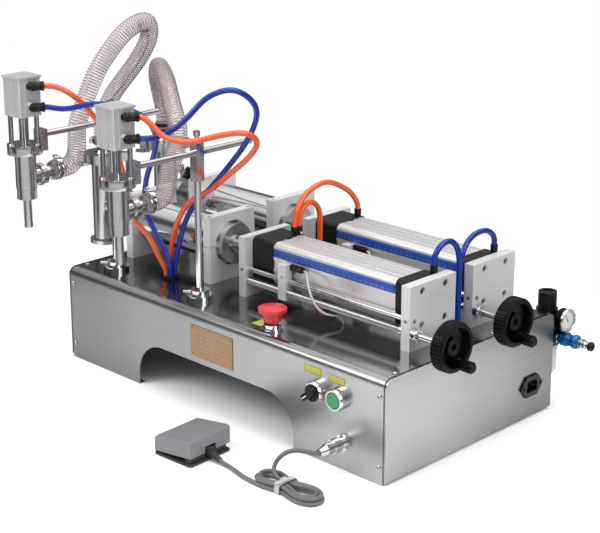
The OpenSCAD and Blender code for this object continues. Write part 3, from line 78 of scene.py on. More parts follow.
FRONT_Y, CAB_H = -177.5, 145.0
AXIS_Z = 201.0
LINE_YS = (-36.5, 93.5)
LINE_NAMES = ("front", "rear")
SIDES = ("right", "left")
HEAD_X = {"right": -73.7, "left": -264.5}
HEAD_Y = {"right": -276.0, "left": -289.0}
ARM_Z = {"right": 361.0, "left": 377.0}
VALVE_X, BARB_TOP_Z = -412.0, 315.0
HOSE_D, TUBE_D, CABLE_D, CORD_D = 28.0, 8.0, 3.5, 6.0
INLET_DROP, FLANGE_DROP, INLET_TILT, INLET_LEN = 44.0, 15.5, 4.0, 66.0
HEAD_CYL_Z, ELBOW_OFF, ELBOW_L, ELBOW_TURN = 33.0, 5.0, 15.0, 60.0
HEAD_W, ELBOW_LOW, ELBOW_HIGH = 38.0, 14.0, 44.0
PORT_OFF, PORT_TOP_Z = 24.0, 244.0
PORT_XS = (4.0, 261.0)
TWIN = 4.5
GROMMET = (-174.0, -102.0)
FEED_HOLES = ((4.0, 36.0), (270.0, 30.0), (262.0, 40.0))
SHEET_OUT_Z = CAB_H + 4.0
SCREW_OFF, SCREW_DROP, SCREW_D = 40.5, 32.0, 10.0
GUIDE_OFF, GUIDE_DROP = 38.5, 15.0
CAP_X, REAR_PLATE_X, LINE_END_X, WHEEL_X = -29.5, 267.0, 282.0, 334.0
SLIDE_X, SLIDE_W, SLIDE_FRONT = 37.0, 15.0, 47.2
PROFILE_W = 63.0
NAME_L, NAME_H, NAME_T, NAME_Z = 87.0, 47.0, 1.0, 102.0
SELECTOR_X, SELECTOR_Z = 207.0, 98.0
REG = (293.0, 205.0, 107.0)
X_AXIS = (1, 0, 0)


def tilted(length):
    a = math.radians(INLET_TILT)
    return length * math.cos(a), length * math.sin(a)


def barb_out(side, out=0.0):
    along, up = tilted(INLET_LEN + out)
    return (HEAD_X[side], HEAD_Y[side] + along, ARM_Z[side] - INLET_DROP - FLANGE_DROP + up)


def valve_out(i, up=0.0):
    return (VALVE_X, LINE_YS[i], BARB_TOP_Z + up)


def elbow_out(side, z, out=0.0):
    a = math.radians(ELBOW_TURN)
    r = ELBOW_L + out
    return (HEAD_X[side] + HEAD_W / 2 + ELBOW_OFF + r * math.cos(a),
            HEAD_Y[side] + r * math.sin(a), ARM_Z[side] + HEAD_CYL_Z + z)


def port_out(i, x, y=0.0, up=0.0):
    return (x, LINE_YS[i] + PORT_OFF + y, PORT_TOP_Z + up)


def elbow_end(side, z):
    return elbow_out(side, z), elbow_out(side, z, 5)


def grommet_end(dx, dy):
    x, y = GROMMET[0] + dx, GROMMET[1] + dy
    return (x, y, SHEET_OUT_Z + 8), (x, y, SHEET_OUT_Z)


BARB_STEPS = (-24, -8, 7)
HOSE_ROUTES = {
    "left": [*(barb_out("left", d) for d in BARB_STEPS),
             (-265, -208, 325), (-267, -201, 331), (-270, -195, 339), (-275, -190, 349),
             (-281, -185, 361), (-287, -178, 376), (-289, -160, 411), (-286, -136, 454),
             (-280, -100, 495), (-276, -74, 512), (-277, -51, 514), (-286, -37, 499),
             (-301, -30, 477), (-324, -28, 450), (-354, -28, 420), (-386, -31, 386), (-405, -35, 354),
             *(valve_out(0, up) for up in (16, -4, -18))],
    "right": [*(barb_out("right", d) for d in BARB_STEPS),
              (-75, -195, 309), (-79, -188, 314), (-84, -181, 321), (-89, -174, 330), (-95, -165, 342),
              (-100, -152, 357), (-106, -140, 374), (-118, -130, 394), (-144, -117, 416),
              (-190, -88, 441), (-247, -52, 449), (-302, -10, 431), (-345, 26, 404), (-380, 60, 372),
              (-403, 84, 345), *(valve_out(1, up) for up in (14, -4, -18))],
}
TUBE_ROUTES = {
    "right_orange": [*elbow_end("right", ELBOW_HIGH),
                     (-30, -253, 430), (-20, -246, 417), (-12, -236, 408), (1, -208, 402), (20, -176, 408),
                     (37, -153, 411), (43, -135, 404), (35, -120, 388), (8, -113, 363), (-28, -112, 335),
                     (-74, -108, 302),
                     (-111, -104, 282), (-143, -99, 258), (-170, -96, 218), (-181, -94, 182),
                     *grommet_end(-TWIN, TWIN)],
    "right_blue": [*elbow_end("right", ELBOW_LOW),
                   (-36, -247, 407), (-31, -234, 409), (-22, -219, 417), (-9, -205, 433), (4, -182, 458),
                   (19, -154, 467), (29, -130, 455), (28, -113, 432), (9, -105, 400), (-24, -100, 362),
                   (-84, -92, 306), (-130, -86, 268), (-154, -86, 236), (-167, -92, 190),
                   *grommet_end(TWIN, TWIN)],
    "left_orange": [*elbow_end("left", ELBOW_HIGH),
                    (-222, -258, 451), (-212, -240, 438), (-206, -218, 414), (-198, -186, 364),
                    (-206, -158, 304), (-218, -137, 240), (-206, -116, 206), (-190, -109, 174),
                    *grommet_end(-TWIN, -TWIN)],
    "left_blue": [*elbow_end("left", ELBOW_LOW),
                  (-212, -254, 421), (-184, -226, 428), (-154, -200, 424), (-134, -176, 408),
                  (-130, -160, 381), (-150, -148, 346), (-186, -134, 300), (-205, -121, 246),
                  (-190, -110, 206), (-170, -107, 174),
                  *grommet_end(TWIN, -TWIN)],
}
CYLINDER_TUBES = {
    "loop_orange": [port_out(0, PORT_XS[0], -TWIN), (4, -16, 256), (4, -9, 272), (4, 11, 291),
                    (4, 50, 298), (4, 92, 279), (4, 112, 260), port_out(1, PORT_XS[0], 0, 4),
                    port_out(1, PORT_XS[0])],
    "feed_orange": [port_out(0, PORT_XS[0], TWIN), (4, -7, 256), (4, 1, 269), (4, 14, 275),
                    (4, 27, 269), (4, 34.5, 256), (4, 36, 238), (4, 36, 215), (*FEED_HOLES[0], SHEET_OUT_Z)],
    "front_blue": [port_out(0, PORT_XS[1]), (261, -11, 257), (263, -1, 269), (265.5, 14, 273),
                   (268, 25, 264), (269.5, 29.5, 248), (270, 30, 228), (*FEED_HOLES[1], SHEET_OUT_Z)],
    "rear_blue": [port_out(1, PORT_XS[1]), (261, 116, 256), (260, 104, 266), (260, 84, 269),
                  (260, 65, 264), (261, 50, 251), (261.8, 42.5, 232), (262, 40, 208), (262, 40, 185),
                  (*FEED_HOLES[2], SHEET_OUT_Z)],
}
CABLE_ROUTE = [(76, -35.7, 6), (84, -38, 5), (94, -46, -2), (104, -52, -13), (114, -54, -26),
               (124, -52, -36.5), (133, -45, -42), (140, -37, -43.5), (144.6, -30.6, -46.5),
               (146, -28, -51.5), (146, -28, -55.5)]

# Geometry helpers (points in mm)


def curve_points(points, steps):
    """A smooth line through the points, as the part's source draws it."""
    p = [np.array(q, float) for q in points]
    out = []
    for i in range(len(p) - 1):
        a = 2 * p[0] - p[1] if i == 0 else p[i - 1]
        d = 2 * p[i + 1] - p[i] if i == len(p) - 2 else p[i + 2]
        b, c = p[i], p[i + 1]
        for k in range(steps):
            t = k / steps
            out.append(0.5 * (2 * b + (c - a) * t + (2 * a - 5 * b + 4 * c - d) * t * t
                              + (3 * b - a - 3 * c + d) * t ** 3))
    out.append(p[-1])
    return np.array(out)


def even(line, step):
    """The same line with its points an even distance apart."""
    seg = np.linalg.norm(np.diff(line, axis=0), axis=1)
    s = np.concatenate([[0], np.cumsum(seg)])
    n = max(2, int(round(s[-1] / step)) + 1)
    t = np.linspace(0, s[-1], n)
    return np.stack([np.interp(t, s, line[:, k]) for k in range(3)], 1)


def smooth(line, rounds):
    line = line.copy()
    for _ in range(rounds):
        line[1:-1] = 0.5 * line[1:-1] + 0.25 * (line[:-2] + line[2:])
    return line


def frames(line):
    """Tangent and two normals along a line, carried without twist."""
    t = np.gradient(line, axis=0)
    t /= np.linalg.norm(t, axis=1)[:, None]
    up = np.array([1.0, 0, 0]) if abs(t[0][2]) > 0.9 else np.array([0, 0, 1.0])
    n = np.zeros_like(t)
    for i in range(len(t)):
        up = up - (up @ t[i]) * t[i]
        up /= np.linalg.norm(up)
        n[i] = up
    return t, n, np.cross(t, n)


def mesh_object(name, verts, faces, mats=(), smooth_shade=True, slots=None):
    mesh = bpy.data.meshes.new(name)
    points = [tuple(float(c) * MM for c in v) for v in verts]
    mesh.from_pydata(points, [], [tuple(int(k) for k in f) for f in faces])
    mesh.update()
    for m in mats if isinstance(mats, (list, tuple)) else [mats]:
        mesh.materials.append(m)
    if slots is not None:
        mesh.polygons.foreach_set("material_index", np.array(slots, np.int32))
    if smooth_shade:
        mesh.polygons.foreach_set("use_smooth", [True] * len(mesh.polygons))
    obj = bpy.data.objects.new(name, mesh)
    SCENE.collection.objects.link(obj)
    return obj


def sharp_by_angle(obj, degrees=35):
    obj.data.set_sharp_from_angle(angle=math.radians(degrees))
    return obj


def tube_data(line, radius, sides):
    """Vertices and faces of a closed tube; radius is a number, or a row of numbers for each ring."""
    t, n, b = frames(line)
    a = np.arange(sides) * 2 * math.pi / sides
    radii = np.asarray(radius, float)
    if radii.ndim < 2:
        radii = np.broadcast_to(radii, (len(line), sides))
    ring = (np.cos(a)[None, :, None] * n[:, None] + np.sin(a)[None, :, None] * b[:, None])
    v = (line[:, None] + radii[:, :, None] * ring).reshape(-1, 3)
    f = [(i * sides + k, i * sides + (k + 1) % sides, (i + 1) * sides + (k + 1) % sides, (i + 1) * sides + k)
         for i in range(len(line) - 1) for k in range(sides)]
    last = (len(line) - 1) * sides
    f.append(tuple(range(sides - 1, -1, -1)))
    f.append(tuple(last + k for k in range(sides)))
    return v, f


def tube(name, line, radius, mat, sides=16):
    v, f = tube_data(line, radius, sides)
    return sharp_by_angle(mesh_object(name, v, f, mat), 60)


def lathe_data(profile, sides=48, axis=(0, 0, 1), origin=(0, 0, 0)):
    """A solid of revolution from (radius, height) points along an axis; a closed profile makes a ring."""
    z = np.array(axis, float)
    z /= np.linalg.norm(z)
    x = np.cross([0, 1.0, 0] if abs(z[1]) < 0.9 else [1.0, 0, 0], z)
    x /= np.linalg.norm(x)
    y = np.cross(z, x)
    o = np.array(origin, float)
    v, f, rings = [], [], []
    for r, h in profile:
        if r < 1e-6:
            rings.append([len(v)])
            v.append(o + z * h)
        else:
            rings.append(list(range(len(v), len(v) + sides)))
            for k in range(sides):
                a = 2 * math.pi * k / sides
                v.append(o + z * h + r * (math.cos(a) * x + math.sin(a) * y))
    for p, q in zip(rings[:-1], rings[1:]):
        for k in range(sides):
            i = (k + 1) % sides
            if len(p) == 1:
                f.append((p[0], q[i], q[k]))
            elif len(q) == 1:
                f.append((p[k], p[i], q[0]))
            else:
                f.append((p[k], p[i], q[i], q[k]))
    if profile[0] != profile[-1]:
        if len(rings[0]) > 1:
            f.append(tuple(reversed(rings[0])))
        if len(rings[-1]) > 1:
            f.append(tuple(rings[-1]))
    return v, f


def rounded_box_data(lo, hi, r, seg=3):
    """A box with rounded edges: a grid on a cube, pushed out to a rounded box."""
    lo, hi = np.array(lo, float), np.array(hi, float)
    c, h = (lo + hi) / 2, (hi - lo) / 2
    r = min(r, *(0.999 * h))
    axis = [np.concatenate([-hh + r * (1 - np.cos(np.linspace(0, math.pi / 2, seg + 1))),
                            hh - r * (1 - np.cos(np.linspace(math.pi / 2, 0, seg + 1)))]) for hh in h]
    index, v, f = {}, [], []

    def vert(i, j, k):
        if (i, j, k) not in index:
            p = np.array([axis[0][i], axis[1][j], axis[2][k]])
            inner = np.clip(p, -(h - r), h - r)
            d = p - inner
            m = np.abs(d).max()
            if m > 1e-9:
                t = d / np.linalg.norm(d)
                p = inner + t * r
            index[(i, j, k)] = len(v)
            v.append(c + p)
        return index[(i, j, k)]

    n = 2 * seg + 1
    for a in range(n):
        for b in range(n):
            around = ((a, b), (a + 1, b), (a + 1, b + 1), (a, b + 1))
            back = around[:1] + around[:0:-1]
            for side in (0, n):
                for q in ([(side, i, j) for i, j in around], [(i, side, j) for i, j in back],
                          [(i, j, side) for i, j in around]):
                    f.append([vert(*t) for t in (q if side else q[::-1])])
    return v, f


def joined(name, parts, mats, angle=35):
    """One object from several (verts, faces, material index) parts."""
    v, f, s = [], [], []
    for pv, pf, slot in parts:
        base = len(v)
        v.extend(pv)
        f.extend([tuple(i + base for i in face) for face in pf])
        s.extend([slot] * len(pf))
    return sharp_by_angle(mesh_object(name, v, f, mats, True, s), angle)


def place(data, matrix):
    """Moves (verts, faces) by a 4x4 matrix whose translation is in mm."""
    return [tuple(matrix @ Vector(p)) for p in data[0]], data[1]


# Materials


def fill(nt, node, inputs):
    """Sets the inputs of a node: each is linked to an output, or set to a number, a vector or a colour."""
    for key, value in inputs.items():
        socket = node.inputs[key]
        if isinstance(value, bpy.types.NodeSocket):
            nt.links.new(value, socket)
        else:
            socket.default_value = (*value, 1) if socket.type == "RGBA" else value


def add(nt, kind, inputs=None, **settings):
    """A new shader node of one kind, with its settings and its inputs."""
    node = nt.nodes.new("ShaderNode" + kind)
    for key, value in settings.items():
        setattr(node, key, value)
    fill(nt, node, inputs or {})
    return node


def new_material(name):
    m = bpy.data.materials.new(name)
    m.use_nodes = True
    nt = m.node_tree
    nt.nodes.clear()
    bsdf = add(nt, "BsdfPrincipled")
    add(nt, "OutputMaterial", {0: bsdf.outputs[0]})
    return m, nt, bsdf


def coords(nt, scale=(1, 1, 1)):
    where = add(nt, "TexCoord").outputs["Object"]
    return add(nt, "Mapping", {"Vector": where, "Scale": scale}).outputs[0]


def noise_tex(nt, vector, scale, detail=3.0, rough=0.5):
    inputs = {"Vector": vector, "Scale": scale, "Detail": detail, "Roughness": rough}
    return add(nt, "TexNoise", inputs).outputs["Fac"]


def ranged(nt, value, lo, hi, from_lo=0.3, from_hi=0.7):
    inputs = {"Value": value, "From Min": from_lo, "From Max": from_hi, "To Min": lo, "To Max": hi}
    return add(nt, "MapRange", inputs).outputs["Result"]


def blend_color(nt, fac, a, b, how="MIX"):
    return add(nt, "Mix", {0: fac, 6: a, 7: b}, data_type="RGBA", blend_type=how).outputs[2]


def math_node(nt, operation, *values):
    return add(nt, "Math", dict(enumerate(values)), operation=operation).outputs[0]


def split(nt, vector):
    """The x, y and z of a vector."""
    return add(nt, "SeparateXYZ", {0: vector}).outputs


def relief(nt, height, strength, distance):
    return add(nt, "Bump", {"Height": height, "Strength": strength, "Distance": distance}).outputs[0]


def surface(name, color, rough, metallic, vary, grain, bump=0.0, bump_grain=900.0, stretch=(1, 1, 1),
            spread=0.05, specular=0.5, coat=0.0, distance=0.0002):
    """A material with colour and roughness that vary with noise, and a fine grain in relief."""
    m, nt, bsdf = new_material(name)
    tint = ranged(nt, noise_tex(nt, coords(nt), grain), 0, 1)
    dark = tuple(c * (1 - vary) for c in color)
    light = tuple(min(1.0, c * (1 + vary)) for c in color)
    fine = noise_tex(nt, coords(nt, stretch), bump_grain, 2.0)
    fill(nt, bsdf, {"Base Color": blend_color(nt, tint, dark, light),
                    "Roughness": ranged(nt, fine, max(0.0, rough - spread), min(1.0, rough + spread)),
                    "Metallic": metallic, "Specular IOR Level": specular, "Coat Weight": coat})
    if bump:
        fill(nt, bsdf, {"Normal": relief(nt, fine, bump, distance)})
    return m


# the last value is the share of its colour that a sheet keeps at the dark end of its painted shade
SHEET_DARK, SHEET_LIGHT, SHEET_PAINTED_SHADE = (0.35, 0.35, 0.355), (0.41, 0.41, 0.415), 0.50
SHEET_WALL_ROUGH, SHEET_TOP_ROUGH = 0.30, 0.13
SHEET_GRAIN, SHEET_CLOUD = 420.0, 5.0


def sheet(name, along, axis, painted_shade_at, unshaded_at):
    """Brushed stainless: nearly a mirror where it faces up, softer on the walls, its colour darkened by
    painted shade towards one end.
    """
    m, nt, bsdf = new_material(name)
    grain = noise_tex(nt, coords(nt, along), SHEET_GRAIN, 4.0, 0.6)
    cloud = ranged(nt, noise_tex(nt, coords(nt), SHEET_CLOUD, 2.0), 0, 1)
    # painted shade: the colour is scaled from 1 down to half along one axis
    bright = ranged(nt, split(nt, coords(nt))[axis], SHEET_PAINTED_SHADE, 1.0, painted_shade_at * MM, unshaded_at * MM)
    tone = {0: blend_color(nt, cloud, SHEET_DARK, SHEET_LIGHT), "Scale": bright}
    facing = split(nt, add(nt, "NewGeometry").outputs["Normal"])["Z"]
    rough = ranged(nt, facing, SHEET_WALL_ROUGH, SHEET_TOP_ROUGH, 0.2, 0.95)
    fill(nt, bsdf, {"Base Color": add(nt, "VectorMath", tone, operation="SCALE").outputs[0],
                    "Roughness": math_node(nt, "ADD", rough, ranged(nt, grain, -0.03, 0.04)),
                    "Metallic": 1.0, "Normal": relief(nt, grain, 0.04, 0.00003)})
    return m


M = {
    # painted shade darkens the long sheets towards x -320 and the end panels towards y 200
    "stainless": sheet("stainless_sheet_x", (0.015, 1, 1), 0, -320, 240),
    "stainless_end": sheet("stainless_sheet_y", (1, 0.015, 1), 1, 200, -80),
    "polished_steel": surface("polished_steel", (0.58, 0.58, 0.59), 0.10, 1.0, 0.03, 60, 0.03, 700,
                              (0.1, 1, 1), 0.03, distance=0.00004),
    "turned_steel": surface("turned_steel", (0.50, 0.50, 0.51), 0.20, 1.0, 0.04, 60, 0.06, 700,
                            (1, 1, 0.5), 0.05, distance=0.00004),
    "zinc_steel": surface("zinc_steel", (0.42, 0.42, 0.43), 0.30, 1.0, 0.06, 300, 0.1, 1500),
    "brass_plate": surface("brass_plate", (0.31, 0.20, 0.115), 0.36, 0.7, 0.06, 120, 0.12, 500,
                           (0.06, 1, 1), 0.06),
    "brass_dark": surface("brass_dark", (0.20, 0.12, 0.06), 0.5, 0.5, 0.08, 120, 0.1, 500),
    "aluminium": surface("anodised_aluminium", (0.60, 0.60, 0.605), 0.30, 0.5, 0.02, 30, 0.01, 2600,
                         (0.03, 1, 1), 0.02, distance=0.00002),
    "machined_aluminium": surface("machined_aluminium", (0.66, 0.66, 0.665), 0.40, 0.35, 0.03, 40, 0.05,
                                  1500, (1, 0.06, 0.5), 0.05, distance=0.00003),
    "blue_aluminium": surface("blue_anodised", (0.008, 0.13, 0.36), 0.26, 0.6, 0.10, 90, 0.08, 900),
    "black_plastic": surface("black_plastic", (0.005, 0.005, 0.006), 0.36, 0.0, 0.25, 200, 0.2, 1800,
                             specular=0.25),
    "black_gloss": surface("black_gloss", (0.003, 0.003, 0.004), 0.30, 0.0, 0.25, 120, 0.12, 1500,
                           specular=0.1),
    "black_cast": surface("black_cast", (0.006, 0.006, 0.007), 0.42, 0.0, 0.25, 160, 0.3, 1300,
                          specular=0.22),
    "red_plastic": surface("red_plastic", (0.50, 0.008, 0.014), 0.30, 0.0, 0.08, 80, 0.05, 1200,
                           coat=0.2),
    "green_lens": surface("green_lens", (0.0, 0.22, 0.075), 0.18, 0.0, 0.10, 60, 0.03, 1200, coat=0.4),
    "grey_plastic": surface("grey_plastic", (0.50, 0.51, 0.52), 0.30, 0.0, 0.05, 80, 0.08, 1200),
    "pedal_grey": surface("pedal_grey", (0.17, 0.175, 0.185), 0.46, 0.1, 0.06, 240, 0.30, 700,
                          distance=0.0003),
    "pedal_black": surface("pedal_black", (0.03, 0.03, 0.032), 0.6, 0.0, 0.2, 200, 0.3, 900),
    "cord_grey": surface("cord_grey", (0.11, 0.11, 0.115), 0.48, 0.0, 0.12, 260, 0.15, 1600),
    "orange_tube": surface("orange_tube", (0.74, 0.098, 0.018), 0.24, 0.0, 0.05, 60, 0.03, 900,
                           coat=0.15),
    "blue_tube": surface("blue_tube", (0.003, 0.026, 0.26), 0.22, 0.0, 0.10, 60, 0.03, 900,
                         specular=0.35, coat=0.1),
    "pale_cable": surface("pale_cable", (0.42, 0.40, 0.38), 0.40, 0.0, 0.05, 90, 0.05, 1500),
    "yellow_label": surface("yellow_label", (0.42, 0.40, 0.05), 0.38, 0.0, 0.04, 60, 0.03, 900),
    "label_ink": surface("label_ink", (0.10, 0.09, 0.02), 0.5, 0.0, 0.1, 90, 0.03, 900),
    "white_paint": surface("white_paint", (0.68, 0.68, 0.67), 0.45, 0.0, 0.03, 90, 0.03, 900),
    "scale_blue": surface("scale_blue", (0.008, 0.055, 0.36), 0.30, 0.0, 0.08, 60, 0.03, 900),
    "scale_mark": surface("scale_mark", (0.16, 0.24, 0.52), 0.4, 0.0, 0.05, 90, 0.03, 900),
    "hose_stripe": surface("hose_stripe", (0.26, 0.03, 0.05), 0.4, 0.0, 0.08, 90, 0.03, 900),
    "hose_wire": surface("hose_wire", (0.15, 0.11, 0.115), 0.35, 0.2, 0.05, 300, 0.05, 1500),
    # painted shade standing in for holes, slots and sockets
    "painted_hole_shade": surface("painted_hole_shade", (0.006, 0.006, 0.006), 0.7, 0.0, 0.2, 200, 0.1, 900),
}


def hose_wall():
    """Clear PVC: mostly see-through wall with a faint pink body colour."""
    m, nt, bsdf = new_material("clear_hose")
    tint = ranged(nt, noise_tex(nt, coords(nt), 40.0), 0, 1)
    fill(nt, bsdf, {"Base Color": blend_color(nt, tint, (0.74, 0.61, 0.625), (0.80, 0.69, 0.70)),
                    "Roughness": 0.16, "Specular IOR Level": 0.5, "Alpha": 0.20})
    return m


M["clear_hose"] = hose_wall()
NODE_MATERIALS = {"end_panels": "stainless_end", "left_arm": "turned_steel", "right_arm": "turned_steel"}
for row in frame["record"]["subparts"]:
    node = nodes[row["node"]]
    chosen = M[NODE_MATERIALS.get(row["node"], row["material_slot"])]
    for slot in node.material_slots:
        slot.material = chosen

# The pedal's free cord

HANK_X, HANK_Y = 245.0, -271.0
LEAD = [(251, -221.8, 38), (251, -228, 39), (247, -235, 42), (238, -241, 43.5), (228, -246, 42),
        (219, -251, 37), (213, -256.5, 29.5), (211, -262, 21.5), (214, -266.5, 14.5), (221, -268, 10.6),
        (232, -267.6, 9.3)]
TAIL = [(196, -288.4, 3.2), (184, -287.6, 3.2), (170, -285.2, 3.2), (156, -281.6, 3.2), (143, -279.6, 3.2),
        (133, -279, 3.6), (124, -277.9, 5.4), (117, -277.2, 7.8), (110.95, -276.96, 8.5)]
TURNS = ((9.1, 3.6, 46.0, 16.5), (9.0, 10.0, 53.0, 19.5), (3.3, 6.2, 49.0, 17.5), (3.2, 12.4, 55.0, 20.5))
TURN_POINTS, TURNS_DRAWN, TURN_CHANGE = 28, 3.86, 0.36
OVAL_X, OVAL_Y, WAIST_L, WAIST_EDGE = 0.75, 0.8, 24.0, 4


def turn_sizes(t):
    """Height, waist, reach and bulge of the winding at turn t; they change only round its left end."""
    k = min(int(t + 0.5), len(TURNS) - 1)
    if k == 0:
        return np.array(TURNS[0])
    w = min(1.0, max(0.0, 0.5 + (t - k) / TURN_CHANGE))
    w = w * w * (3 - 2 * w)
    return (1 - w) * np.array(TURNS[k - 1]) + w * np.array(TURNS[k])


def hank_turns():
    """Long oval turns that are drawn together under the tie, from the lead's run to the tail's."""
    pts = []
    for i in range(TURN_POINTS // 4, int(TURNS_DRAWN * TURN_POINTS)):
        t = i / TURN_POINTS
        z, waist, reach, bulge = turn_sizes(t)
        a = math.pi - 2 * math.pi * t
        c, n = math.cos(a), math.sin(a)
        x = reach * math.copysign(abs(c) ** OVAL_X, c)
        near = math.exp(-(x / WAIST_L) ** 2)
        y = bulge * abs(n) ** OVAL_Y * (1 - near) + waist * near * min(1.0, abs(n) * WAIST_EDGE)
        pts.append((HANK_X + x, HANK_Y + math.copysign(y, n), z))
    return pts


def cord_line():
    return smooth(even(curve_points(LEAD + hank_turns() + TAIL, 5), 2.0), 8)


pedal_line = even(cord_line(), 2.5)
pedal_cord = tube("pedal_cord", pedal_line, CORD_D / 2, M["cord_grey"], 12)
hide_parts("pedal_cord_lead", "pedal_cord_hank", "pedal_cord_tail")
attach(pedal_cord, "cabinet")


TIE_X, TIE_HALF_Y, TIE_TOP, TIE_ROUND = -4.0, 16.0, 13.0, 5.0
TIE_FOOT, TIE_FOOT_Z, TIE_FLOOR = 1.4, 1.6, 0.06
TIE_SECTION = ((-4, 0.0), (4, 0.0), (4, 1.1), (3.4, 1.4), (-3.4, 1.4), (-4, 1.1))


def tie_strap():
    """A plastic tie drawn round the waist of the hank: a flat loop that lies on the floor, and its head."""
    wide, foot, top = TIE_HALF_Y - TIE_ROUND, TIE_HALF_Y - TIE_FOOT, TIE_TOP - TIE_ROUND
    corners = ((wide, top, TIE_ROUND, 0), (-wide, top, TIE_ROUND, 90),
               (-foot, TIE_FOOT_Z, TIE_FOOT, 180), (foot, TIE_FOOT_Z, TIE_FOOT, 270))
    outline = []
    for cy, cz, r, turned in corners:
        for k in range(7):
            a = math.radians(turned + 15 * k)
            outline.append((cy + r * math.cos(a), cz + r * math.sin(a), math.cos(a), math.sin(a)))
    x0, y0 = HANK_X + TIE_X, HANK_Y
    verts, faces = [], []
    for y, z, ny, nz in outline:
        for x, out in TIE_SECTION:
            verts.append((x0 + x, y0 + y + ny * out, max(0.0 if out else TIE_FLOOR, z + nz * out)))
    n = len(outline)
    for i in range(n):
        row, after = i * 6, (i + 1) % n * 6
        for k in range(6):
            m = (k + 1) % 6
            faces.append((row + k, row + m, after + m, after + k))
    head = rounded_box_data((x0 - 5, y0 - 6, 13.2), (x0 + 5, y0 + 3, 17.0), 1.4)
    tail = rounded_box_data((x0 - 3.4, y0 - 18, 14.6), (x0 + 3.4, y0 + 4, 15.8), 0.5)
    return joined("cord_tie", [(verts, faces, 0), (*head, 0), (*tail, 0)], [M["pale_cable"]])


cord_tie = tie_strap()
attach(cord_tie, "cabinet")

# Filling hoses

HOSE_R, HOSE_WALL, HOSE_SIDES = HOSE_D / 2, 3.0, 28
RIB_H, RIB_RINGS, HOSE_HELD_Y = 0.4, 4, -70.0
WIRE_PITCH, WIRE_R, WIRE_DEPTH, WIRE_STEPS = 4.4, 0.6, 0.95, 18
STRIPE_IN, STRIPE_OUT = 0.5, 0.12
# angle in radians and width in mm of the coloured line on each hose
STRIPE_AT = {"left": (2.6, 0.9), "right": (2.9, 1.1)}


def hose_line(side):
    return smooth(even(curve_points(HOSE_ROUTES[side], 8), WIRE_PITCH / RIB_RINGS), 24)


def hose_skin(line):
    """Ribbed outer wall and plain inner wall, closed at both ends."""
    phase = np.arange(len(line))[:, None] / RIB_RINGS - np.arange(HOSE_SIDES)[None, :] / HOSE_SIDES
    outer = HOSE_R - RIB_H + RIB_H * np.cos(2 * math.pi * phase)
    v, f = tube_data(line, outer, HOSE_SIDES)
    iv, inner_f = tube_data(line, HOSE_R - HOSE_WALL, HOSE_SIDES)
    base, last = len(v), (len(line) - 1) * HOSE_SIDES
    v = np.concatenate([v, iv])
    f = f[:-2] + [tuple(base + k for k in reversed(q)) for q in inner_f[:-2]]
    for k in range(HOSE_SIDES):
        n = (k + 1) % HOSE_SIDES
        f.append((n, k, base + k, base + n))
        f.append((last + k, last + n, base + last + n, base + last + k))
    return v, f


def hose_wire(line):
    """The centre line of the wire that winds through the hose's wall."""
    t, n, b = frames(line)
    count = int((len(line) - 1) / RIB_RINGS * WIRE_STEPS)
    s = np.linspace(0, len(line) - 1, count)
    i = np.minimum(s.astype(int), len(line) - 2)
    w = (s - i)[:, None]
    centre, n, b = (q[i] * (1 - w) + q[i + 1] * w for q in (line, n, b))
    a = (2 * math.pi * np.arange(count) / WIRE_STEPS)[:, None]
    return centre + (HOSE_R - WIRE_DEPTH) * (np.cos(a) * n + np.sin(a) * b)


def hose_stripe(line, angle, width):
    """A thin strip of coloured plastic along the hose."""
    t, n, b = frames(line)
    half, low, high = width / (2 * HOSE_R), HOSE_R - STRIPE_IN, HOSE_R + STRIPE_OUT
    v = []
    for i in range(0, len(line), 2):
        for turned, r in ((-half, low), (half, low), (half, high), (-half, high)):
            a = angle + turned
            v.append(line[i] + r * (math.cos(a) * n[i] + math.sin(a) * b[i]))
    rows = len(v) // 4
    f = [(i * 4 + k, i * 4 + (k + 1) % 4, i * 4 + 4 + (k + 1) % 4, i * 4 + 4 + k)
         for i in range(rows - 1) for k in range(4)]
    f += [(3, 2, 1, 0), tuple((rows - 1) * 4 + k for k in range(4))]
    return v, f


def follow(obj):
    """Bakes the placement of a hose, tube or cable into its mesh."""
    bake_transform(obj)


for side in SIDES:
    line = hose_line(side)
    hose = mesh_object(side + "_hose", *hose_skin(line), M["clear_hose"])
    coil = mesh_object(side + "_hose_wire", *tube_data(hose_wire(line), WIRE_R, 5), M["hose_wire"])
    stripe = mesh_object(side + "_hose_stripe", *hose_stripe(line, *STRIPE_AT[side]), M["hose_stripe"])
    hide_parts(side + "_filling_hose")
    for piece, slot in ((hose, "clear_hose"), (coil, "zinc_steel"), (stripe, "clear_hose")):
        follow(piece)

# Hose clamps


BAND_GAP, BAND_OUT, BAND_GROOVE = 0.05, 1.0, 0.25
BAND_PLACES, BAND_SLOTS, BAND_FIRST = 48, 44, 0.5
BAND_SCREW = [(0, -12), (2.4, -12), (3.4, -11), (3.4, -8.2), (2.2, -8), (2.2, 9), (0, 9)]


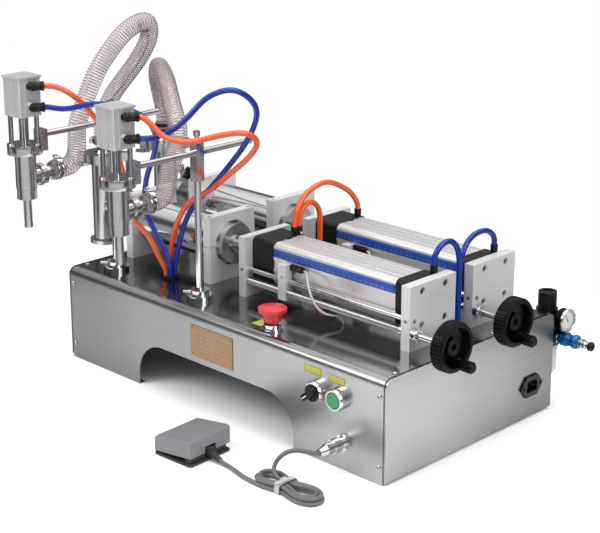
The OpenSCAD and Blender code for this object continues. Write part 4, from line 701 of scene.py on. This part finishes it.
def band_clamp(name, centre, axis, body, screw_dir, mat="polished_steel", width=9.0, screw=True):
    """A worm-drive band round a hose, with its screw housing, and its band's slots drawn as dark marks of
    painted shade.
    """
    z = Vector(axis).normalized()
    x = Vector(screw_dir)
    x = (x - x.dot(z) * z).normalized()
    to = Matrix.Translation(Vector(centre)) @ Matrix((x, z.cross(x), z)).transposed().to_4x4()
    h, r0, r1 = width / 2, HOSE_R + BAND_GAP, HOSE_R + BAND_OUT
    low = r1 - BAND_GROOVE
    ring = [(r0, -h), (r1 - 0.2, -h), (r1, -h + 0.8), (low, -h + 1.4), (low, h - 1.4), (r1, h - 0.8),
            (r1 - 0.2, h), (r0, h), (r0, -h)]
    parts = [(*place(lathe_data(ring, 72), to), 0)]
    # the band's slots are dark marks of painted shade
    mark = rounded_box_data((r1 - 0.55, -0.35, -h + 1.6), (r1 - 0.1, 0.35, h - 1.6), 0.1, 1)
    for k in range(BAND_SLOTS):
        a = 2 * math.pi * k / BAND_PLACES + BAND_FIRST
        parts.append((*place(mark, to @ Matrix.Rotation(a, 4, "Z")), 1))
    if screw:
        house = rounded_box_data((r1 - 0.4, -6.5, -h - 0.4), (r1 + 5.6, 6.5, h + 0.4), 1.2)
        shaft = lathe_data(BAND_SCREW, 18, (0, 1, 0), (r1 + 2.7, 0, 0))
        parts += [(*place(house, to), 0), (*place(shaft, to), 0)]
    obj = joined(name, parts, [M[mat], M["painted_hole_shade"]])
    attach(obj, body)


for side in SIDES:
    band_clamp(side + "_head_clamp_band", barb_out(side, -13), (0, *tilted(1)), side + "_head", (0.5, 0, 1))
for k, z in enumerate((302.0, 311.5)):
    band_clamp("rear_valve_band_%d" % (k + 1), (VALVE_X, LINE_YS[1], z), (0, 0, 1), "cabinet", (0.2, 1, 0),
               "black_plastic", 5.5, False)
band_clamp("front_valve_band", (VALVE_X, LINE_YS[0], 305.0), (0, 0, 1), "cabinet", (-1, -0.6, 0))

# Air tubes and the sensor cables


def tube_line(points, step=2.5, rounds=10):
    return smooth(even(curve_points(points, 10), step), rounds)


for key, points in TUBE_ROUTES.items():
    side, colour = key.split("_")
    line, top = tube_line(points), points[0]
    piece = tube(key + "_tube", line, TUBE_D / 2, M[colour + "_tube"], 20)
    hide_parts(side + "_head_tubes")
    follow(piece)
for key, points in CYLINDER_TUBES.items():
    line, colour = tube_line(points, 2.0, 6), key.split("_")[1]
    piece = tube(key + "_tube", line, TUBE_D / 2, M[colour + "_tube"], 20)
    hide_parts("cylinder_tubes")
    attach(piece, "cabinet")
for i, line_name in enumerate(LINE_NAMES):
    points = [(x, y + LINE_YS[i], z + AXIS_Z) for x, y, z in CABLE_ROUTE]
    line = tube_line(points, 1.5, 4)
    piece = tube(line_name + "_cable", line, CABLE_D / 2, M["pale_cable"], 12)
    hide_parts(line_name + "_sensor_cable")
    follow(piece)

# Push-in elbows and collars


def push_in_elbow(name, side, z, mats):
    """Body, collar and release ring of one push-in elbow, over the plain one of the CAD head cylinder."""
    at = (HEAD_X[side] + HEAD_W / 2, HEAD_Y[side], ARM_Z[side] + HEAD_CYL_Z + z)
    a = math.radians(ELBOW_TURN)
    hexed = [(5.6, 0.2), (6.4, 0.6), (6.4, 3.6), (5.6, 4.0), (5.2, 4.0), (5.2, 0.2), (5.6, 0.2)]
    body = [(0, 4.0), (5.9, 4.0), (6.1, 4.4), (6.1, 8.2), (5.4, 9.8), (3.6, 10.9), (0, 11.3)]
    barrel = [(0, 0.0), (6.0, 0.0), (6.2, 0.5), (6.2, 11.4), (5.7, 12.2), (6.6, 12.5), (6.9, 13.0),
              (6.9, 16.2), (6.3, 16.8), (0, 16.8)]
    out, bend = (math.cos(a), math.sin(a), 0), (at[0] + ELBOW_OFF, *at[1:])
    parts = [(*lathe_data(hexed, 6, X_AXIS, at), 1), (*lathe_data(body, 28, X_AXIS, at), 0),
             (*lathe_data(barrel, 28, out, bend), 0)]
    obj = joined(name, parts, mats)
    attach(obj, side + "_head")


for side in SIDES:
    push_in_elbow(side + "_upper_elbow", side, ELBOW_HIGH, [M["black_plastic"], M["black_plastic"]])
    push_in_elbow(side + "_lower_elbow", side, ELBOW_LOW, [M["black_plastic"], M["polished_steel"]])

# Scales on the air cylinders

SCALE_X0, SCALE_X1, SCALE_TOP, SCALE_H = 13.1, 242.4, 8.0, 12.0
SCALE_ZERO, SCALE_L, TICK_STEP, NUMBER_STEP = 6, 220, 2, 10
TICK_LONG, TICK_SHORT, TICK_HALF, TICK_GAP = 4.2, 2.2, 0.22, 0.8
SCALE_DIGIT, DIGIT_UP = 4.2, 2.0


def digits(text, size):
    """Plain digits as a flat mesh in (x, y), in mm, centred on x."""
    curve = bpy.data.curves.new("digits", "FONT")
    curve.body = text
    curve.size = size
    curve.align_x = "CENTER"
    obj = bpy.data.objects.new("digits", curve)
    SCENE.collection.objects.link(obj)
    bpy.context.view_layer.update()
    mesh = bpy.data.meshes.new_from_object(obj.evaluated_get(bpy.context.evaluated_depsgraph_get()))
    data = [tuple(v.co) for v in mesh.vertices], [tuple(p.vertices) for p in mesh.polygons]
    bpy.data.objects.remove(obj)
    bpy.data.meshes.remove(mesh)
    return data


def scale_strip(i):
    """A blue strip with a scale: a tick every 2 mm, longer every 10 mm, and plain numbers from 10 on."""
    y = LINE_YS[i] - PROFILE_W / 2
    top = AXIS_Z + PROFILE_W / 2 - SCALE_TOP
    face, start, z1 = y - 0.42, SCALE_X0 + SCALE_ZERO, top - TICK_GAP
    plate = rounded_box_data((SCALE_X0, y - 0.35, top - SCALE_H), (SCALE_X1, y + 0.5, top), 0.2, 1)
    parts = [(*plate, 0)]
    for k in range(0, SCALE_L, TICK_STEP):
        x, z0 = start + k, z1 - (TICK_SHORT if k % NUMBER_STEP else TICK_LONG)
        tick = rounded_box_data((x - TICK_HALF, face, z0), (x + TICK_HALF, face + 0.2, z1), 0.05, 1)
        parts.append((*tick, 1))
    for k in range(NUMBER_STEP, SCALE_L, NUMBER_STEP):
        v, f = digits(str(k), SCALE_DIGIT)
        parts.append(([(start + k + q[0], face, top - SCALE_H + DIGIT_UP + q[1]) for q in v], f, 1))
    obj = joined(LINE_NAMES[i] + "_scale", parts, [M["scale_blue"], M["scale_mark"]])
    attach(obj, "cabinet")


for i in (0, 1):
    scale_strip(i)

# Labels, pointer and small parts


def frame_bars(x0, x1, z0, z1, w, cut=0.0):
    """The four bars of a frame as low and high (x, z) corners, cut short by so much at each end."""
    return [((x0 + cut, z0), (x1 - cut, z0 + w)), ((x0 + cut, z1 - w), (x1 - cut, z1)),
            ((x0, z0 + cut), (x0 + w, z1 - cut)), ((x1 - w, z0 + cut), (x1, z1 - cut))]


def printed(bars, y0, y1, slot):
    return [(*rounded_box_data((lo[0], y0, lo[1]), (hi[0], y1, hi[1]), 0.04, 1), slot) for lo, hi in bars]


FRAME_IN, FRAME_W = 0.9, 0.45


def panel_label(name, x0, x1, z0, z1):
    """A bare yellow label on the front panel, with a printed frame round it."""
    y, m = FRONT_Y, FRAME_IN
    parts = [(*rounded_box_data((x0, y - 0.3, z0), (x1, y - 0.01, z1), 0.12, 1), 0)]
    parts += printed(frame_bars(x0 + m, x1 - m, z0 + m, z1 - m, FRAME_W), y - 0.36, y - 0.25, 1)
    obj = joined(name, parts, [M["yellow_label"], M["label_ink"]])
    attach(obj, "cabinet")


panel_label("selector_label", 181.5, 212.5, 118.0, 129.5)
panel_label("start_label", 226.0, 255.0, 116.5, 127.5)
stop_box = rounded_box_data((54, -152, CAB_H), (72, -128, CAB_H + 0.3), 0.12, 1)
stop_label = mesh_object("stop_label", *stop_box, M["yellow_label"])
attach(stop_label, "cabinet")

ETCH_IN, ETCH_W, ETCH_CUT = 3, 0.5, 5
RULES, RULE_TOP, RULE_STEP, RULE_IN, RULE_MIDDLE = 5, 9, 6.6, 6, 4


def etched_nameplate():
    """Etched frame and blank rules on the bare nameplate."""
    x1, y = NAME_L / 2 - ETCH_IN, FRONT_Y - NAME_T
    z0, z1 = NAME_Z - NAME_H / 2 + ETCH_IN, NAME_Z + NAME_H / 2 - ETCH_IN
    bars = frame_bars(-x1, x1, z0, z1, ETCH_W, ETCH_CUT)
    for k in range(RULES):
        z = z1 - RULE_TOP - RULE_STEP * k
        bars.append(((-x1 + RULE_IN, z), (-RULE_MIDDLE, z + ETCH_W)))
        bars.append(((RULE_MIDDLE, z), (x1 - RULE_IN, z + ETCH_W)))
    parts = printed(bars, y - 0.08, y + 0.1, 0)
    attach(joined("nameplate_etching", parts, [M["brass_dark"]]), "cabinet")


etched_nameplate()


THREAD_PITCH, THREAD_DEPTH, THREAD_SIDES, THREAD_STEPS = 2.0, 0.9, 18, 5


def collar(inner, outer, x0, x1, edge):
    """Half the section of a collar, its outer edges bevelled."""
    return [(inner, x0), (outer - edge, x0), (outer, x0 + edge), (outer, x1 - edge), (outer - edge, x1),
            (inner, x1)]


def lead_screw(i):
    """Threaded between the plates, plain towards the wheel, with a collar on each side of the rear plate."""
    name = LINE_NAMES[i]
    origin = (0, LINE_YS[i] - SCREW_OFF, AXIS_Z - SCREW_DROP)
    r = SCREW_D / 2
    x0, x1, x2 = CAP_X + 1, REAR_PLATE_X - 7, WHEEL_X + 11
    xs = np.arange(x0, x1, THREAD_PITCH / THREAD_STEPS)
    line = np.stack([xs, np.full(len(xs), origin[1]), np.full(len(xs), origin[2])], 1)
    phase = (xs / THREAD_PITCH)[:, None] - np.arange(THREAD_SIDES)[None, :] / THREAD_SIDES
    radii = r - 0.05 - THREAD_DEPTH * np.abs(2 * (phase - np.floor(phase)) - 1)
    parts = [(*tube_data(line, radii, THREAD_SIDES), 0)]
    shaft = [(0, CAP_X - 5), (r - 0.6, CAP_X - 5), (r, CAP_X - 4.4), (r, x0), (0, x0)]
    tail = [(0, x1 - 0.5), (r - 0.9, x1 - 0.5), (r - 0.1, x1 + 0.4), (r - 0.1, x2 - 0.6), (r - 0.9, x2),
            (0, x2)]
    near = collar(r + 0.2, r + 2, REAR_PLATE_X - 6.3, REAR_PLATE_X - 0.3, 0.5)
    far = collar(r - 0.2, r + 4, LINE_END_X + 0.3, LINE_END_X + 10.3, 0.8)
    for profile in (shaft, tail, near, far):
        parts.append((*lathe_data(profile, 36, X_AXIS, origin), 0))
    # a disc of painted shade for the screw hole in the far collar
    at = (LINE_END_X + 5.3, origin[1] - r - 4 + 0.05, origin[2])
    parts.append((*lathe_data([(0, 0), (2.2, 0), (2.2, 0.25), (0, 0.25)], 20, (0, -1, 0), at), 1))
    obj = joined(name + "_threaded_screw", parts, [M["turned_steel"], M["painted_hole_shade"]])
    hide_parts(name + "_lead_screw")
    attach(obj, name + "_handwheel")


# low and high corners of the sensor's switch and of its lamp, from the line's own axis
SWITCH_BOX = (SLIDE_X + SLIDE_W + 0.1, -39.1, 1.7), (76.2, -32.8, 10.3)
LAMP_BOX = (70, -39.4, 7.2), (73, -39.0, 8.8)
SWITCH_BOOT = [(0, 75.9), (2.9, 75.9), (2.9, 77.4), (2.3, 77.6), (2.6, 78.4), (2.1, 78.7), (2.3, 79.6),
               (0, 79.6)]


def sensor_parts(i):
    """Black switch on the slide with its lamp and its cable boot, and the screw that fixes the slide."""
    name, y = LINE_NAMES[i], LINE_YS[i]
    line = np.array((0, y, AXIS_Z))
    body = rounded_box_data(*(line + corner for corner in SWITCH_BOX), 0.9)
    lamp = rounded_box_data(*(line + corner for corner in LAMP_BOX), 0.15, 1)
    boot = lathe_data(SWITCH_BOOT, 20, X_AXIS, (0, y - 35.7, AXIS_Z + 6))
    parts = [(*body, 0), (*boot, 0), (*lamp, 1)]
    obj = joined(name + "_switch", parts, [M["black_plastic"], M["red_plastic"]])
    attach(obj, name + "_sensor_slide")
    at = (SLIDE_X + SLIDE_W / 2, y - SLIDE_FRONT - 0.1, AXIS_Z - SCREW_DROP + 24)
    head = lathe_data([(1.2, 0), (1.85, 0), (1.85, 1.9), (1.2, 1.9), (1.2, 0)], 24, (0, 1, 0), at)
    # the head's socket is a dark plug of painted shade
    recess = lathe_data([(0, 0.5), (1.25, 0.5), (1.25, 1.6), (0, 1.6)], 6, (0, 1, 0), at)
    obj = joined(name + "_slide_screw", [(*head, 0), (*recess, 1)], [M["zinc_steel"], M["painted_hole_shade"]])
    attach(obj, name + "_sensor_slide")


def set_screw_parts(at, axis, r=2.6):
    """A sunk set screw: a ring of painted shade round a steel face, and a hexagon socket of painted shade,
    drawn as thin rings on a flat face.
    """
    ring = lathe_data([(r - 0.5, -0.3), (r, -0.3), (r, 0.06), (r - 0.5, 0.06), (r - 0.5, -0.3)], 28, axis, at)
    face = lathe_data([(0, -0.3), (r - 0.5, -0.3), (r - 0.5, 0.03), (0, 0.03)], 28, axis, at)
    socket = lathe_data([(0, -0.2), (r * 0.5, -0.2), (r * 0.5, 0.08), (0, 0.08)], 6, axis, at)
    return [(*ring, 1), (*face, 0), (*socket, 1)]


SET_SCREW_OFF = 48
for i in (0, 1):
    lead_screw(i)
    sensor_parts(i)
    y, z = LINE_YS[i], AXIS_Z - GUIDE_DROP
    parts = set_screw_parts((LINE_END_X, y - GUIDE_OFF, z), X_AXIS, 3.2)
    for x in (REAR_PLATE_X + 7.5, CAP_X - 6.2):
        parts += set_screw_parts((x, y - SET_SCREW_OFF, z), (0, -1, 0))
    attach(joined(LINE_NAMES[i] + "_set_screws", parts, [M["zinc_steel"], M["painted_hole_shade"]]), "cabinet")


DIAL_R, DIAL_FACE, DIAL_MARKS, DIAL_FROM, DIAL_SWEEP = 14.6, 16.3, 30, 225, 270
DIAL_NUMBERS, NUMBER_R, DIAL_DIGIT = 6, 8.6, 3.0
DIAL_RIM = [(15.0, 16.4), (15.0, 18.3), (15.6, 18.9), (16.9, 18.9), (17.3, 18.3), (17.3, 14.8), (16.6, 14.6),
            (16.6, 18.0), (15.0, 16.4)]
SEAL_RING = [(5.6, 1.2), (6.6, 1.4), (6.9, 2.4), (6.6, 4.4), (5.6, 4.6), (5.6, 1.2)]


def gauge_dial():
    """White dial with ticks and plain numbers, a steel rim and a red sealing ring behind the gauge."""
    at = x0, y0, z0 = REG[0] + 20, REG[1], REG[2] + 19
    plate = [(0, 16.02), (DIAL_R, 16.02), (DIAL_R, DIAL_FACE), (0, DIAL_FACE)]
    parts = [(*lathe_data(plate, 48, X_AXIS, at), 0)]
    for k in range(DIAL_MARKS + 1):
        a = math.radians(DIAL_FROM - DIAL_SWEEP / DIAL_MARKS * k)
        inner, half = (12.2, 0.2) if k % 5 else (11.2, 0.35)
        mark = rounded_box_data((16.25, inner, -half), (16.42, 13.6, half), 0.05, 1)
        turn = Matrix.Translation(at) @ Matrix.Rotation(a - math.pi / 2, 4, "X")
        parts.append((*place(mark, turn), 1))
    for k in range(DIAL_NUMBERS + 1):
        a = math.radians(DIAL_FROM - DIAL_SWEEP / DIAL_NUMBERS * k)
        v, f = digits(str(2 * k), DIAL_DIGIT)
        y, z = y0 + NUMBER_R * math.cos(a), z0 + NUMBER_R * math.sin(a) - 1.0
        parts.append(([(x0 + 16.4, y + q[0], z + q[1]) for q in v], f, 1))
    parts.append((*lathe_data(DIAL_RIM, 56, X_AXIS, at), 2))
    parts.append((*lathe_data(SEAL_RING, 32, X_AXIS, at), 3))
    mats = [M[name] for name in ("white_paint", "black_plastic", "polished_steel", "red_plastic")]
    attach(joined("gauge_dial", parts, mats), "cabinet")


gauge_dial()


def air_plug():
    """Blue coupler with grip grooves and a knurled ring, a nickel nipple with its groove, and a black tip."""
    at = (REG[0] + 20, REG[1], REG[2] - 9)
    body = [(0, 0), (8, 0), (8, 5), (9, 5), (9, 8), (10.2, 9.6)]
    for k in range(5):
        x = 1.8 * k
        body += [(10.5, 10 + x), (10.5, 10.9 + x), (10.0, 11.2 + x), (10.0, 11.6 + x)]
    body += [(8.6, 21), (8.5, 27), (10.3, 29.6), (10.5, 30.2), (10.5, 33.8), (9, 36), (0, 36)]
    nipple = [(0, 35.5), (6, 35.5), (6, 40.6), (7.4, 41.2), (7.4, 44.6), (6, 45.2), (6, 49), (4.9, 50),
              (4.9, 53), (6, 54), (6, 55.2), (0, 55.2)]
    tip = [(0, 54.8), (6.6, 54.8), (6.75, 55.4), (6.75, 59.3), (6.1, 60), (4.2, 60), (3.8, 58.5), (0, 58.5)]
    hexed = [(0, 0.4), (9.4, 0.4), (10.2, 1.0), (10.2, 4.6), (9.4, 5.2), (0, 5.2)]
    parts = [(*lathe_data(profile, sides, X_AXIS, at), slot)
             for profile, sides, slot in ((body, 44, 0), (nipple, 36, 1), (tip, 36, 2), (hexed, 6, 1))]
    obj = joined("air_coupler", parts, [M["blue_aluminium"], M["turned_steel"], M["black_plastic"]])
    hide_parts("air_inlet_plug")
    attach(obj, "cabinet")


air_plug()


POINTER_TURN = -140


def selector_pointer():
    """White pointer line on the selector's lever."""
    bar = rounded_box_data((4.0, -0.8, 19.9), (14.0, 0.8, 20.15), 0.1, 1)
    to = Matrix.Translation((SELECTOR_X, FRONT_Y, SELECTOR_Z)) @ Matrix.Rotation(math.radians(90), 4, "X")
    to = to @ Matrix.Rotation(math.radians(POINTER_TURN), 4, "Z")
    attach(joined("selector_pointer", [(*place(bar, to), 0)], [M["white_paint"]]), "selector_knob")


selector_pointer()


BOOT_RIBS, RIB_STEP, RIB_TAPER, BOOT_IN, BOOT_R = 5, 3, 0.28, 3.05, 4.9


def cord_boot():
    """Ribbed, tapered strain relief where the cord enters the pedal."""
    end = np.array(TAIL[-1])
    profile = [(BOOT_IN, 0.2), (BOOT_R + 0.1, 0.2)]
    for k in range(BOOT_RIBS):
        r, x = BOOT_R - RIB_TAPER * k, RIB_STEP * k
        profile += [(r, 1.2 + x), (r - 0.1, 2.6 + x), (r - 0.7, 2.9 + x), (r - 0.7, 3.7 + x)]
    profile += [(3.3, 16.6), (BOOT_IN, 16.6)]
    data = lathe_data(profile, 28, np.array(TAIL[-3]) - end, end)
    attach(joined("cord_boot", [(*data, 0)], [M["pedal_black"]]), "cabinet")


cord_boot()

# Edges that catch the light

BEVELS = {"mounting_plates": 0.5, "barrel_clamps": 0.6, "air_cylinder_caps": 0.8, "pedal_treadle": 2.2,
          "front_sensor_slide": 0.4, "rear_sensor_slide": 0.4, "power_inlet": 0.5, "nameplate": 0.2,
          "left_head_frame": 0.3, "right_head_frame": 0.3}
for node_name, width in BEVELS.items():
    node = nodes[node_name]
    weld = node.modifiers.new("weld", "WELD")
    weld.merge_threshold = 0.00001
    flat = node.modifiers.new("flat", "DECIMATE")
    flat.decimate_type = "DISSOLVE"
    flat.angle_limit = math.radians(1.0)
    bevel = node.modifiers.new("edges", "BEVEL")
    bevel.width = width * MM
    bevel.segments = 2
    bevel.limit_method = "ANGLE"
    bevel.angle_limit = math.radians(50)
    bevel.use_clamp_overlap = True

# Light and floor


def value_ramp(nt, value, stops):
    ramp = add(nt, "ValToRGB", {0: value})
    els = ramp.color_ramp.elements
    while len(els) < len(stops):
        els.new(0.5)
    for el, (at, v) in zip(els, stops):
        el.position = at
        el.color = (v, v, v, 1)
    return ramp.outputs[0]


def world_light():
    """White where it is seen directly; for light and reflections a studio with dark flags, bright above."""
    w = bpy.data.worlds.new("studio")
    SCENE.world = w
    w.use_nodes = True
    nt = w.node_tree
    nt.nodes.clear()
    x, y, z = split(nt, add(nt, "TexCoord").outputs["Generated"])
    # height: 0 is straight down, 0.5 the horizon, 1 straight up
    height = value_ramp(nt, math_node(nt, "MULTIPLY_ADD", z, 0.5, 0.5), DOME_HEIGHT)
    # bands: 0 towards -X+Y, 1 towards +X-Y
    squares = (math_node(nt, "MULTIPLY", q, q) for q in (x, y))
    flat = math_node(nt, "SQRT", math_node(nt, "ADD", *squares))
    turn = math_node(nt, "DIVIDE", math_node(nt, "SUBTRACT", x, y), math_node(nt, "MAXIMUM", flat, 0.001))
    bands = value_ramp(nt, math_node(nt, "MULTIPLY_ADD", turn, 0.5 / math.sqrt(2), 0.5), DOME_BANDS)
    low = value_ramp(nt, math_node(nt, "ABSOLUTE", z), BANDS_SHOW)
    tone = blend_color(nt, 1.0, height, blend_color(nt, low, (1, 1, 1), bands), "MULTIPLY")
    white = add(nt, "Background", {"Color": (1, 1, 1), "Strength": 1.0})
    dome = add(nt, "Background", {"Color": tone, "Strength": 1.0})
    seen = add(nt, "LightPath").outputs["Is Camera Ray"]
    mix = add(nt, "MixShader", {0: seen, 1: dome.outputs[0], 2: white.outputs[0]})
    add(nt, "OutputWorld", {0: mix.outputs[0]})


# stops of position and brightness; the bands show near the horizon and fade out above and below it
DOME_HEIGHT = ((0.0, 0.5), (0.35, 0.75), (0.49, 0.7), (0.52, 0.30), (0.58, 0.15), (0.66, 0.18), (0.73, 0.8),
               (0.85, 1.2), (1.0, 1.2))
DOME_BANDS = ((0.0, 0.8), (0.10, 0.15), (0.28, 0.12), (0.40, 0.75), (0.56, 0.55), (0.68, 0.08), (0.80, 0.06),
              (0.88, 1.0), (1.0, 1.2))
BANDS_SHOW = ((0.0, 1.0), (0.30, 1.0), (0.50, 0.0))
# name, place and target in metres, size in metres, power in watts
LIGHTS = (("key", (-1.2, -2.6, 2.4), (0, 0, 0.2), (2.2, 1.6), 62),
          ("side", (3.0, -0.3, 1.8), (0, 0, 0.15), (1.6, 1.6), 38),
          ("top", (0.2, 0.4, 3.2), (0, 0, 0), (2.6, 2.6), 50))


def area(name, at, target, size, power):
    data = bpy.data.lights.new(name, "AREA")
    data.shape = "RECTANGLE"
    data.size, data.size_y = size
    data.energy = power
    obj = bpy.data.objects.new(name, data)
    SCENE.collection.objects.link(obj)
    obj.location = at
    obj.rotation_euler = (Vector(target) - Vector(at)).to_track_quat("-Z", "Y").to_euler()


world_light()
for light in LIGHTS:
    area(*light)
SCENE.view_settings.view_transform = "Standard"

# Finish

FLOOR_X, FLOOR_Y, FLOOR_R, FLOOR_SIDES = -30, -50, 700.0, 96
floor_turns = [2 * math.pi * k / FLOOR_SIDES for k in range(FLOOR_SIDES)]
floor_ring = [(FLOOR_X + FLOOR_R * math.cos(a), FLOOR_Y + FLOOR_R * math.sin(a), 0) for a in floor_turns]
paper = surface("floor_paper", (0.96, 0.96, 0.96), 0.9, 0.0, 0.005, 3.0, specular=0.1)
floor = mesh_object("floor", floor_ring, [tuple(range(FLOOR_SIDES))], paper, False)
